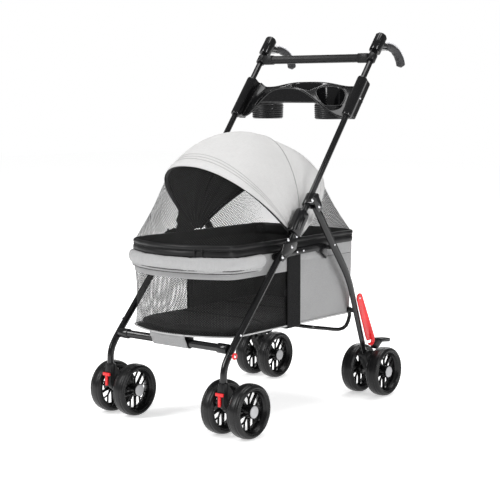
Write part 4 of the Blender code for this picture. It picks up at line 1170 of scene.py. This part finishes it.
def canopy_relief(mix, share):
    """Height of the cloth over its bows: pockets, seams, sag between bows, and gathers at the feet."""
    ridge = 0.0022 * (bump_at(mix, 1.0, 0.035) + bump_at(mix, 0.0, 0.035) + bump_at(mix, 2.0, 0.04))
    seams = sum(depth * bump_at(mix, line, 0.010) for line, depth in CANOPY_SEAMS)
    sag = 0.0035 * bump_at(mix, 0.5, 0.5) + 0.0030 * bump_at(mix, 1.5, 0.5)
    sag += 0.0075 * ease((mix - 1.0) / 0.16) * ease((1.95 - mix) / 0.6)
    foot = 1 - math.sin(math.pi * share)
    pleats = 0.0022 * math.sin(mix * 26 + 3 * share) * foot**3 * ease(foot * 2)
    drift = wrinkle((mix * 0.24, share * 0.5, 0.0), 0.09, 0.0022, 13.0)
    return ridge - seams - sag * (1 - foot) + pleats + drift


def turn_with_canopy(piece):
    """Bakes into its mesh the placement of cloth between the front bow, which folds, and the middle bow,
    which stays; the piece does not turn with the front bow.
    """
    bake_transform(piece)


def canopy_row(mix, shares, lift=0.0):
    bow = canopy_bow(mix)
    return [bow_point(bow, share, CANOPY_GROW + lift + canopy_relief(mix, share)) for share in shares]


def build_canopy_shell():
    """One grey sheet over the three bows, lined in black, with its sewn lines."""
    shares = bow_shares(72)
    places = even_steps(CANOPY_REAR_MIX, CANOPY_FRONT_MIX, 130)
    for line, _ in CANOPY_SEAMS:
        places += [line + step for step in (-0.010, -0.005, 0.0, 0.005, 0.010)]
    places = sorted(set(places), reverse=True)
    places = [places[0]] + [b for a, b in zip(places, places[1:]) if a - b > 0.0012]
    shell = sheet_piece("canopy_shell", [canopy_row(mix, shares) for mix in places], "pale", 0.0010, "lining")
    turn_with_canopy(shell)
    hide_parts("canopy_front_panel", "canopy_rear_panel")
    for number, (line, _) in enumerate(CANOPY_SEAMS):
        look, radius = ("seam", 0.0008) if line == 1.0 else ("thread_grey", 0.0005)
        thread = tube_piece(f"canopy_seam_{number}", canopy_row(line, shares, 0.0002), radius, look, 6)
        if line < 1.0:
            turn_with_canopy(thread)
        else:
            hold_on_frame(thread)


def rim_run(front):
    """Rim line from the left foot round the front, or the rear, to the right foot."""
    left = run_at_side(CANOPY_PIVOT[0] - 0.022) if front else run_at_side(CANOPY_PIVOT[0] + 0.030)
    if front:
        return lambda share: tub_point(left * (1 - 2 * share), RIM_TOP_Z - 0.002, -0.0012)
    span = TUB_HALF_LENGTH - left
    return lambda share: tub_point(left + 2 * span * share, RIM_TOP_Z - 0.002, -0.0012)


def build_window(name, bow, front, look, start=0.0, end=1.0, inset=0.0):
    """Net from a bow down to the rim, pulled slightly in between them, between two of its shares."""
    shift = math.radians(1.0) * (1 if front else -1)
    edge = (bow[0], bow[1] + shift, bow[2])
    rim = rim_run(front)
    shares = even_steps(start, end, max(12, round(96 * (end - start))))
    rows = []
    for mix in even_steps(0, 1, WINDOW_LINES - 1):
        row = []
        for share in shares:
            upper = bow_point(edge, 0.012 + 0.976 * share, 0.0012)
            point = upper.lerp(rim(share), mix)
            inward = (Vector((0.0, at(0.0, (0.29, 0.0)).y, point.z)) - point).normalized()
            sag = (0.004 + wrinkle(point, 0.06, 0.0018, 17.0)) * math.sin(math.pi * mix)
            row.append(point + inward * (sag + inset))
        rows.append(row)
    return sheet_piece(name, rows[::-1] if front else rows, look)


def blend_to_bow(net):
    """Bakes a front net's placement into its mesh; its upper edge does not move with the front bow."""
    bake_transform(net)


def build_windows():
    """Front and rear nets, and the black cloth piece at the hood's right foot."""
    net = build_window("front_net", BOWS["front"], True, "net")
    blend_to_bow(net)
    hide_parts("front_mesh_window")
    gusset = build_window("hood_gusset", BOWS["front"], True, "lining", 0.905, 1.0, 0.0022)
    blend_to_bow(gusset)
    rear = build_window("rear_net", BOWS["rear"], False, "net_rear")
    hold_on_frame(rear)
    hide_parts("rear_mesh_window")


def build_bindings():
    """Black tape round the front bow's edge, and black tape with pale piping at the rear bow's."""
    # Name, bow, turn from it in degrees, how far over it, radius, look, sides, and shares left off each end
    bindings = (
        ("front_bow_tape", "front", 1.3, 0.0010, 0.0040, "lining", 12, 7),
        ("rear_bow_tape", "rear", -1.5, 0.0012, 0.0038, "lining", 12, 0),
        ("rear_bow_piping", "rear", -0.9, 0.0068, 0.0016, "piping", 8, 0),
    )
    shares = bow_shares(80)
    for name, bow_name, turn, lift, radius, look, sides, spare in bindings:
        reach, lean, roundness = BOWS[bow_name]
        edge = (reach, lean + math.radians(turn), roundness)
        kept = shares[spare : len(shares) - spare]
        binding = tube_piece(name, [bow_point(edge, share, lift) for share in kept], radius, look, sides)
        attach(binding, "canopy_front" if bow_name == "front" else "front_frame")


# ---------------------------------------------------------------- wheels


def mirrored(profile):
    """A (radius, x) profile and its mirror image across x = 0, in one run."""
    return profile + [(radius, -x) for radius, x in reversed(profile) if x]


def rim_mesh():
    """Dished rim ring, hub and five spokes, with a Y rib in each window between them."""
    joined = bmesh.new()
    joined.from_mesh(lathe_mesh("ring", mirrored(RIM_FACE) + RIM_FACE[:1], "rim"))
    joined.from_mesh(lathe_mesh("hub", HUB, "rim", 48))
    turn = 2 * math.pi / SPOKES
    for spoke in range(SPOKES):
        window = turn * spoke
        between = window + turn / 2
        add_spoke(joined, between, between, 0.0140, 0.0480, 0.0062, 0.0034, 0.0038)
        add_spoke(joined, window, window, 0.0140, 0.0300, 0.0026, 0.0022, 0.0030)
        for lean in (-0.24, 0.24):
            add_spoke(joined, window, window + lean, 0.0290, 0.0480, 0.0022, 0.0022, 0.0028)
    mesh = bpy.data.meshes.new("rim_mesh")
    joined.to_mesh(mesh)
    joined.free()
    dress_mesh(mesh, "rim")
    return mesh


def add_spoke(bm, angle_in, angle_out, r_in, r_out, width_in, width_out, half_depth):
    """A bar with rounded edges in the wheel's plane, from one radius and angle to another."""
    inner = Vector((0.0, r_in * math.sin(angle_in), r_in * math.cos(angle_in)))
    outer = Vector((0.0, r_out * math.sin(angle_out), r_out * math.cos(angle_out)))
    side = (outer - inner).cross(Vector((1, 0, 0))).normalized()
    edge = min(width_in, width_out) * 0.2
    rings = []
    for mix in (0, 0.5, 1):
        half = (width_in + (width_out - width_in) * mix) / 2
        section = [(half, half_depth - edge), (half - edge, half_depth)]
        section += [(-a, d) for a, d in reversed(section)]
        section += [(-a, -d) for a, d in section]
        centre = inner.lerp(outer, mix)
        rings.append([bm.verts.new(centre + side * a + Vector((d, 0, 0))) for a, d in section])
    for low, high in zip(rings, rings[1:]):
        for k in range(8):
            n = (k + 1) % 8
            bm.faces.new((low[k], low[n], high[n], high[k]))
    bm.faces.new(rings[0][::-1])
    bm.faces.new(rings[-1])


def rod_stack(name, centre, profile, look, sides=64):
    """A round solid about a vertical line through centre, from (radius, z) points, bottom to top."""
    rings = []
    for radius, z in profile:
        ring = []
        for cos, sin in turns(sides):
            x = centre[0] + radius * cos
            y = centre[1] + radius * sin
            ring.append(at(x, (y, z(x, y) if callable(z) else z)))
        rings.append(ring)
    return ring_solid(name, rings, look)


def tray_lips(x):
    """Heights of the tray's front and rear lips at x."""
    front = math.cos(math.pi / 2 * min(1.0, abs(x) / 0.172) ** 1.4) ** 2
    rear = math.cos(math.pi / 2 * min(1.0, abs(x) / 0.14) ** 1.5) ** 2
    dip = 0.0045 * bump_at(abs(x), 0.095, 0.070)
    return 0.770 + 0.077 * front - dip, 0.850 + 0.013 * rear + 0.020 * ease((abs(x) - 0.150) / 0.040)


def tray_front_y(x):
    """The tray's front edge bows forward in the middle and wraps round the cups."""
    return TRAY_FRONT_Y + 0.0100 * (x / CUP_X) ** 2


def tray_top(x, y):
    front, rear = tray_lips(x)
    start = tray_front_y(x)
    return front + (rear - front) * clamp01((y - start) / (TRAY_REAR_Y - start))


def tray_block():
    """Solid from the tray's arched top down to its underside."""
    columns, lines = 96, 28
    top, low = [], []
    for x in even_steps(-TRAY_END_X, TRAY_END_X, columns):
        for y in even_steps(tray_front_y(x), TRAY_REAR_Y, lines):
            z = tray_top(x, y)
            top.append(at(x, (y, z)))
            low.append(at(x, (y, min(TRAY_UNDERSIDE_Z, z - TRAY_LIP_DEPTH))))
    faces = closed_grid_faces(columns + 1, lines + 1)
    return new_piece("parent_tray_body", top + low, faces, "gloss")


def tray_bracket(side):
    """Flat bracket behind the push tube, and the round sleeve that clips onto it."""
    outline = [(0.414, -0.004), (0.414, 0.0275), (0.417, 0.0305)]
    outline += [(0.531, 0.0305), (0.535, 0.0265), (0.535, -0.004)]
    rings = [[at(side * x, along_push(*point)) for point in outline] for x in (0.1765, 0.1985)]
    path = [at(side * TUBE_X, along_push(distance)) for distance in (0.404, 0.407, 0.45, 0.49, 0.529, 0.532)]
    radii = [0.0128, 0.0140, 0.0140, 0.0140, 0.0140, 0.0128]
    return [ring_solid("bracket", rings, "gloss"), tube_piece("sleeve", path, radii, "gloss", 32)]


def fuse(pieces, voxel):
    """Joins overlapping solids into the first one."""
    first = pieces[0]
    bm = bmesh.new()
    for piece in pieces:
        bm.from_mesh(piece.data)
    bmesh.ops.recalc_face_normals(bm, faces=bm.faces)
    bm.to_mesh(first.data)
    bm.free()
    for piece in pieces[1:]:
        bpy.data.objects.remove(piece)
    voxel_remesh(first, voxel)
    bake_modifiers(first)
    return first


def carve(piece, cutters):
    for cutter in cutters:
        boolean = piece.modifiers.new("cut", "BOOLEAN")
        boolean.operation = "DIFFERENCE"
        boolean.object = cutter
    bake_modifiers(piece)
    for cutter in cutters:
        bpy.data.objects.remove(cutter)


def trough_cutter():
    """A rounded rectangle that widens upwards, from the trough's floor to above the tray."""
    rings = []
    for grow, z in ((0.92, TROUGH_FLOOR_Z), (1.0, TROUGH_FLOOR_Z + 0.0030), (1.02, CUT_TOP_Z)):
        ring = []
        for cos, sin in turns(72):
            x = TROUGH_HALF_X * grow * squared(cos, 0.4)
            y = TROUGH_Y + TROUGH_HALF_Y * grow * squared(sin, 0.4)
            ring.append(at(x, (y, z)))
        rings.append(ring)
    return ring_solid("trough", rings, "gloss")


def build_tray():
    """Moulded cup tray: one arched body with a trough and two wells, and two brackets."""
    solids = [tray_block()]
    cutters = []
    cup_wall = [(0.0400, 0.762), (0.0412, 0.7635), (0.0430, 0.790)]
    cup_wall += [(0.0434, lambda x, y: tray_top(x, y) - 0.0005)]
    well_wall = [(0.0360, 0.7668), (0.0372, 0.7680), (0.0392, 0.81), (0.0398, CUT_TOP_Z)]
    for side in (1, -1):
        cup = (side * CUP_X, CUP_Y)
        solids += tray_bracket(side)
        solids.append(rod_stack("cup", cup, cup_wall, "gloss"))
        cutters.append(rod_stack("well", cup, well_wall, "gloss"))
    cutters.append(trough_cutter())
    tray = fuse(solids, TRAY_VOXELS[0])
    carve(tray, cutters)
    tray.name = "parent_tray_body"
    voxel_remesh(tray, TRAY_VOXELS[1])
    relax = tray.modifiers.new("relax", "SMOOTH")
    relax.factor = 0.5
    relax.iterations = 6
    bake_modifiers(tray)
    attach(tray, "handle")
    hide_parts("parent_tray")


def build_cup_ribs():
    """Seven moulded ribs round each cup, each a little wider than the one below."""
    rib = ((0.0420, 0.0), (0.0434, 0.0010), (0.0434, 0.0030), (0.0420, 0.0040))
    profile = [(0.0405, 0.7625)]
    for i in range(CUP_RIBS):
        profile += [(radius + 0.0002 * i, 0.7650 + CUP_RIB_PITCH * i + rise) for radius, rise in rib]
    for side_name, side in SIDES:
        ribs = rod_stack(f"cup_ribs_{side_name}", (side * CUP_X, CUP_Y), profile, "moulded", 96)
        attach(ribs, "handle")


def lip_bead(name, points, radius, closed=False):
    """Rounded moulded edge along the tray's top."""
    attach(tube_piece(name, points, radius, "gloss", 12, closed), "handle")


def build_tray_trim():
    """Beads along the lips and round the wells, and the brackets' screws."""
    reach = TRAY_END_X - 0.006
    line = even_steps(-reach, reach, 80)
    front = [at(x, (tray_front_y(x) + 0.0010, tray_lips(x)[0] - 0.0006)) for x in line]
    rear = [at(x, (TRAY_REAR_Y - 0.0012, tray_lips(x)[1] - 0.0008)) for x in line]
    lip_bead("tray_lip_front", front, 0.0030)
    lip_bead("tray_lip_rear", rear, 0.0021)
    screw = rivet_mesh("tray_screw", 0.0036, 0.0014)
    for side_name, side in SIDES:
        spots = [(side * CUP_X + 0.0400 * cos, CUP_Y + 0.0400 * sin) for cos, sin in turns(64)]
        ring = [at(x, (y, tray_top(x, y) - 0.0004)) for x, y in spots]
        lip_bead(f"tray_well_bead_{side_name}", ring, 0.0021, closed=True)
        spot = at(side * 0.1984, along_push(0.4748, 0.0136))
        place_mesh(f"tray_screw_{side_name}", screw, spot, side, "handle")


def grip_strip_ring(point, out, thick, wide, share):
    """One section of a grip's pale strip, lifted over the grip's top."""
    taper = math.sin(math.pi * clamp01((share - 0.06) / 0.92)) ** 0.35
    spread = math.radians(74.0) * taper
    outer, inner = [], []
    for k in range(17):
        angle = spread * (k / 8 - 1)
        reach = out * math.cos(angle) * thick + Vector((math.sin(angle) * wide, 0, 0))
        lift = reach.normalized() * 0.0022 * math.cos(math.pi / 2 * (k / 8 - 1)) ** 0.5 * taper
        outer.append(point + reach + lift)
        inner.append(point + reach * 0.9)
    return outer + inner[::-1]


def build_grips():
    """Curved grips: dimpled black body with a pale strip along its top."""
    for side_name, side in SIDES:
        path = smooth_path([at(side * TUBE_X, point) for point in GRIP_PATH], 8)
        body, strip = [], []
        for i, point in enumerate(path):
            share = i / (len(path) - 1)
            behind, ahead = either_side(path, i)
            along = (ahead - behind).normalized()
            out = Vector((0.0, -along.z, along.y))
            end = math.sqrt(max(0.05, 1 - ease((share - 0.90) / 0.10) ** 2))
            thick = (0.0085 + 0.0030 * ease(share / 0.25)) * end
            wide = (0.0100 + 0.0025 * ease(share / 0.25)) * end
            dimple = 0.0011 * math.cos(2 * math.pi * 5.5 * share) * ease(share / 0.2)
            ring = []
            for cos, sin in turns(28):
                reach = out * cos * (thick + dimple * clamp01(-cos))
                ring.append(point + reach + Vector((sin * wide, 0, 0)))
            body.append(ring)
            if 0.08 <= share <= 0.96:
                strip.append(grip_strip_ring(point, out, thick, wide, share))
        grip = ring_solid(f"grip_body_{side_name}", body, "grip")
        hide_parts(f"grip_{side_name}")
        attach(grip, "handle")
        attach(ring_solid(f"grip_strip_{side_name}", strip, "grip_top"), "handle")


def build_wheels():
    """Tyre, spoked rim and hub cap for each of the eight wheels."""
    tyre = lathe_mesh("tyre_mesh", mirrored(TYRE_PROFILE), "tyre", 112)
    rim = rim_mesh()
    cap = lathe_mesh("cap_mesh", HUB_CAP, "hub", 48)
    for end, axle in (("front", FRONT_AXLE), ("rear", REAR_AXLE)):
        for side_name, side in SIDES:
            for place, lean in (("outer", 1), ("inner", -1)):
                body = f"{end}_wheel_{side_name}_{place}"
                centre = at(side * (TUBE_X + lean * PAIR_HALF_SPACING), axle)
                outward = side * lean
                place_mesh(f"{body}_tyre_skin", tyre, centre, outward, body, [f"{body}_tyre"])
                place_mesh(f"{body}_spokes", rim, centre, outward, body, [f"{body}_rim"])
                place_mesh(f"{body}_cap", cap, centre, outward, body)


# ---------------------------------------------------------------- rivets and small hardware


def rivet_mesh(name, radius, height):
    profile = [(0.0, height), (radius * 0.45, height * 0.95), (radius * 0.78, height * 0.7)]
    profile += [(radius * 0.95, height * 0.35), (radius, 0.0), (radius * 0.9, -0.0012), (0.0, -0.0012)]
    return lathe_mesh(name, profile, "steel", 24)


def build_stud():
    """Steel stud with a red collar, which the fold latch hooks."""
    spot = at(TUBE_X + 0.0092, STUD_AT)
    collar = lathe_mesh("stud_collar_mesh", STUD_COLLAR, "red", 32)
    pin = lathe_mesh("stud_pin_mesh", STUD_PIN, "steel", 32)
    place_mesh("stud_collar", collar, spot, 1, "front_frame", ["fold_latch_stud"])
    place_mesh("stud_pin", pin, spot, 1, "front_frame")


def sleeve_ring(side, distance, share):
    """A rounded rectangle round the push tube, at a distance up it, shrunk to a share of full size."""
    ring = []
    front, back = SLEEVE_FRONT_BACK
    inner, outer = SLEEVE_INNER_OUTER
    for cos, sin in turns(40):
        offset = (front + back) / 2 + squared(sin, 0.55) * share * (back - front) / 2
        x = TUBE_X + (inner + outer) / 2 + squared(cos, 0.55) * share * (outer - inner) / 2
        ring.append(at(side * x, along_push(distance, offset)))
    return ring


def build_sleeves():
    """Glossy lock housings on the push tubes, deeper in front of the tube than behind it."""
    for side_name, side in SIDES:
        rings = [sleeve_ring(side, distance, share) for distance, share in SLEEVE_SHAPE]
        sleeve = ring_solid(f"lock_sleeve_body_{side_name}", rings, "gloss")
        panel = []
        x = side * (TUBE_X + SLEEVE_INNER_OUTER[1] + 0.0004)
        for distance, half_width in ((0.0420, 0.0060), (0.0440, 0.0078), (0.0780, 0.0078), (0.0800, 0.0060)):
            middle = along_push(distance, -0.0075)
            low, high = at(x - side * 0.004, middle), at(x, middle)
            step = at(0, along_push(distance, half_width - 0.0075)) - at(0, middle)
            panel.append([low - step, low + step, high + step, high - step])
        cover = ring_solid(f"lock_sleeve_panel_{side_name}", panel, "gloss")
        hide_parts(f"lock_sleeve_{side_name}")
        for piece in (sleeve, cover):
            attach(piece, f"lock_sleeve_{side_name}")


def hull_outline(circles, steps=24):
    """The outline round a set of (y, z, radius) circles, as points in order."""
    points = {(y + radius * cos, z + radius * sin) for y, z, radius in circles for cos, sin in turns(steps)}
    ordered = sorted(points)

    def half(run):
        chain = []
        for point in run:
            while len(chain) > 1 and turn_of(chain[-2], chain[-1], point) <= 1e-9:
                chain.pop()
            chain.append(point)
        return chain[:-1]

    return half(ordered) + half(ordered[::-1])


def turn_of(a, b, c):
    """Above 0 where the way from a through b to c turns left."""
    return (b[0] - a[0]) * (c[1] - a[1]) - (b[1] - a[1]) * (c[0] - a[0])


def plate_solid(name, circles, x_levels, look="red"):
    """A plate in the side plane: its outline shrinks by the given amount at each x level."""
    rings = []
    for x, shrink in x_levels:
        loop = [at(x, point) for point in hull_outline([(y, z, radius - shrink) for y, z, radius in circles])]
        rings.append(evenly_spaced(loop + loop[:1], 96, ends=False))
    return ring_solid(name, rings, look)


def build_latch():
    """Red fold latch: a hooked plate with a raised edge, and a steel rivet at its top."""
    latch = plate_solid("fold_latch_body", LATCH_OUTLINE, LATCH_LEVELS)
    eye = plate_solid("latch_eye", [(*LATCH_EYE, 0.0052)], LATCH_CUT)
    mouth = plate_solid("latch_mouth", LATCH_MOUTH, LATCH_CUT)
    carve(latch, [eye, mouth])
    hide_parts("fold_latch")
    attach(latch, "fold_latch")
    rivet = rivet_mesh("latch_rivet_mesh", 0.0036, 0.0016)
    place_mesh("fold_latch_rivet", rivet, at(0.2079, LATCH_PIVOT), 1, "fold_latch")


def build_rivets():
    meshes = {
        "large": rivet_mesh("rivet_large", 0.0042, 0.0022),
        "small": rivet_mesh("rivet_small", 0.0032, 0.0018),
    }
    for name, point, x, body, size in RIVETS:
        for side_name, side in SIDES:
            place_mesh(f"rivet_{name}_{side_name}", meshes[size], at(side * x, point), side, body)


def dress_cad_nodes():
    """Better materials, rounded edges and smooth shading for the CAD parts that stay."""
    for name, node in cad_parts.items():
        if node.hide_render:
            continue
        for look, starts in CAD_LOOKS.items():
            if name.startswith(starts):
                node.data.materials.clear()
                node.data.materials.append(MATERIALS[look])
        weld = node.modifiers.new("weld", "WELD")
        weld.merge_threshold = 0.00001
        soften(node, CAD_EDGE_WIDTH, CAD_EDGE_ANGLE)
        node.data.polygons.foreach_set("use_smooth", [True] * len(node.data.polygons))


def main():
    for build in (
        build_stage, build_lights, build_camera, build_tub_walls, build_rim, build_zip_sliders, build_piping,
        build_base, build_sling, build_front_tab, build_floor_pad, build_apron, build_canopy_shell,
        build_windows, build_bindings, build_wheels, build_tray, build_cup_ribs, build_tray_trim, build_grips,
        build_stud, build_sleeves, build_latch, build_rivets, dress_cad_nodes,
    ):
        build()


main()
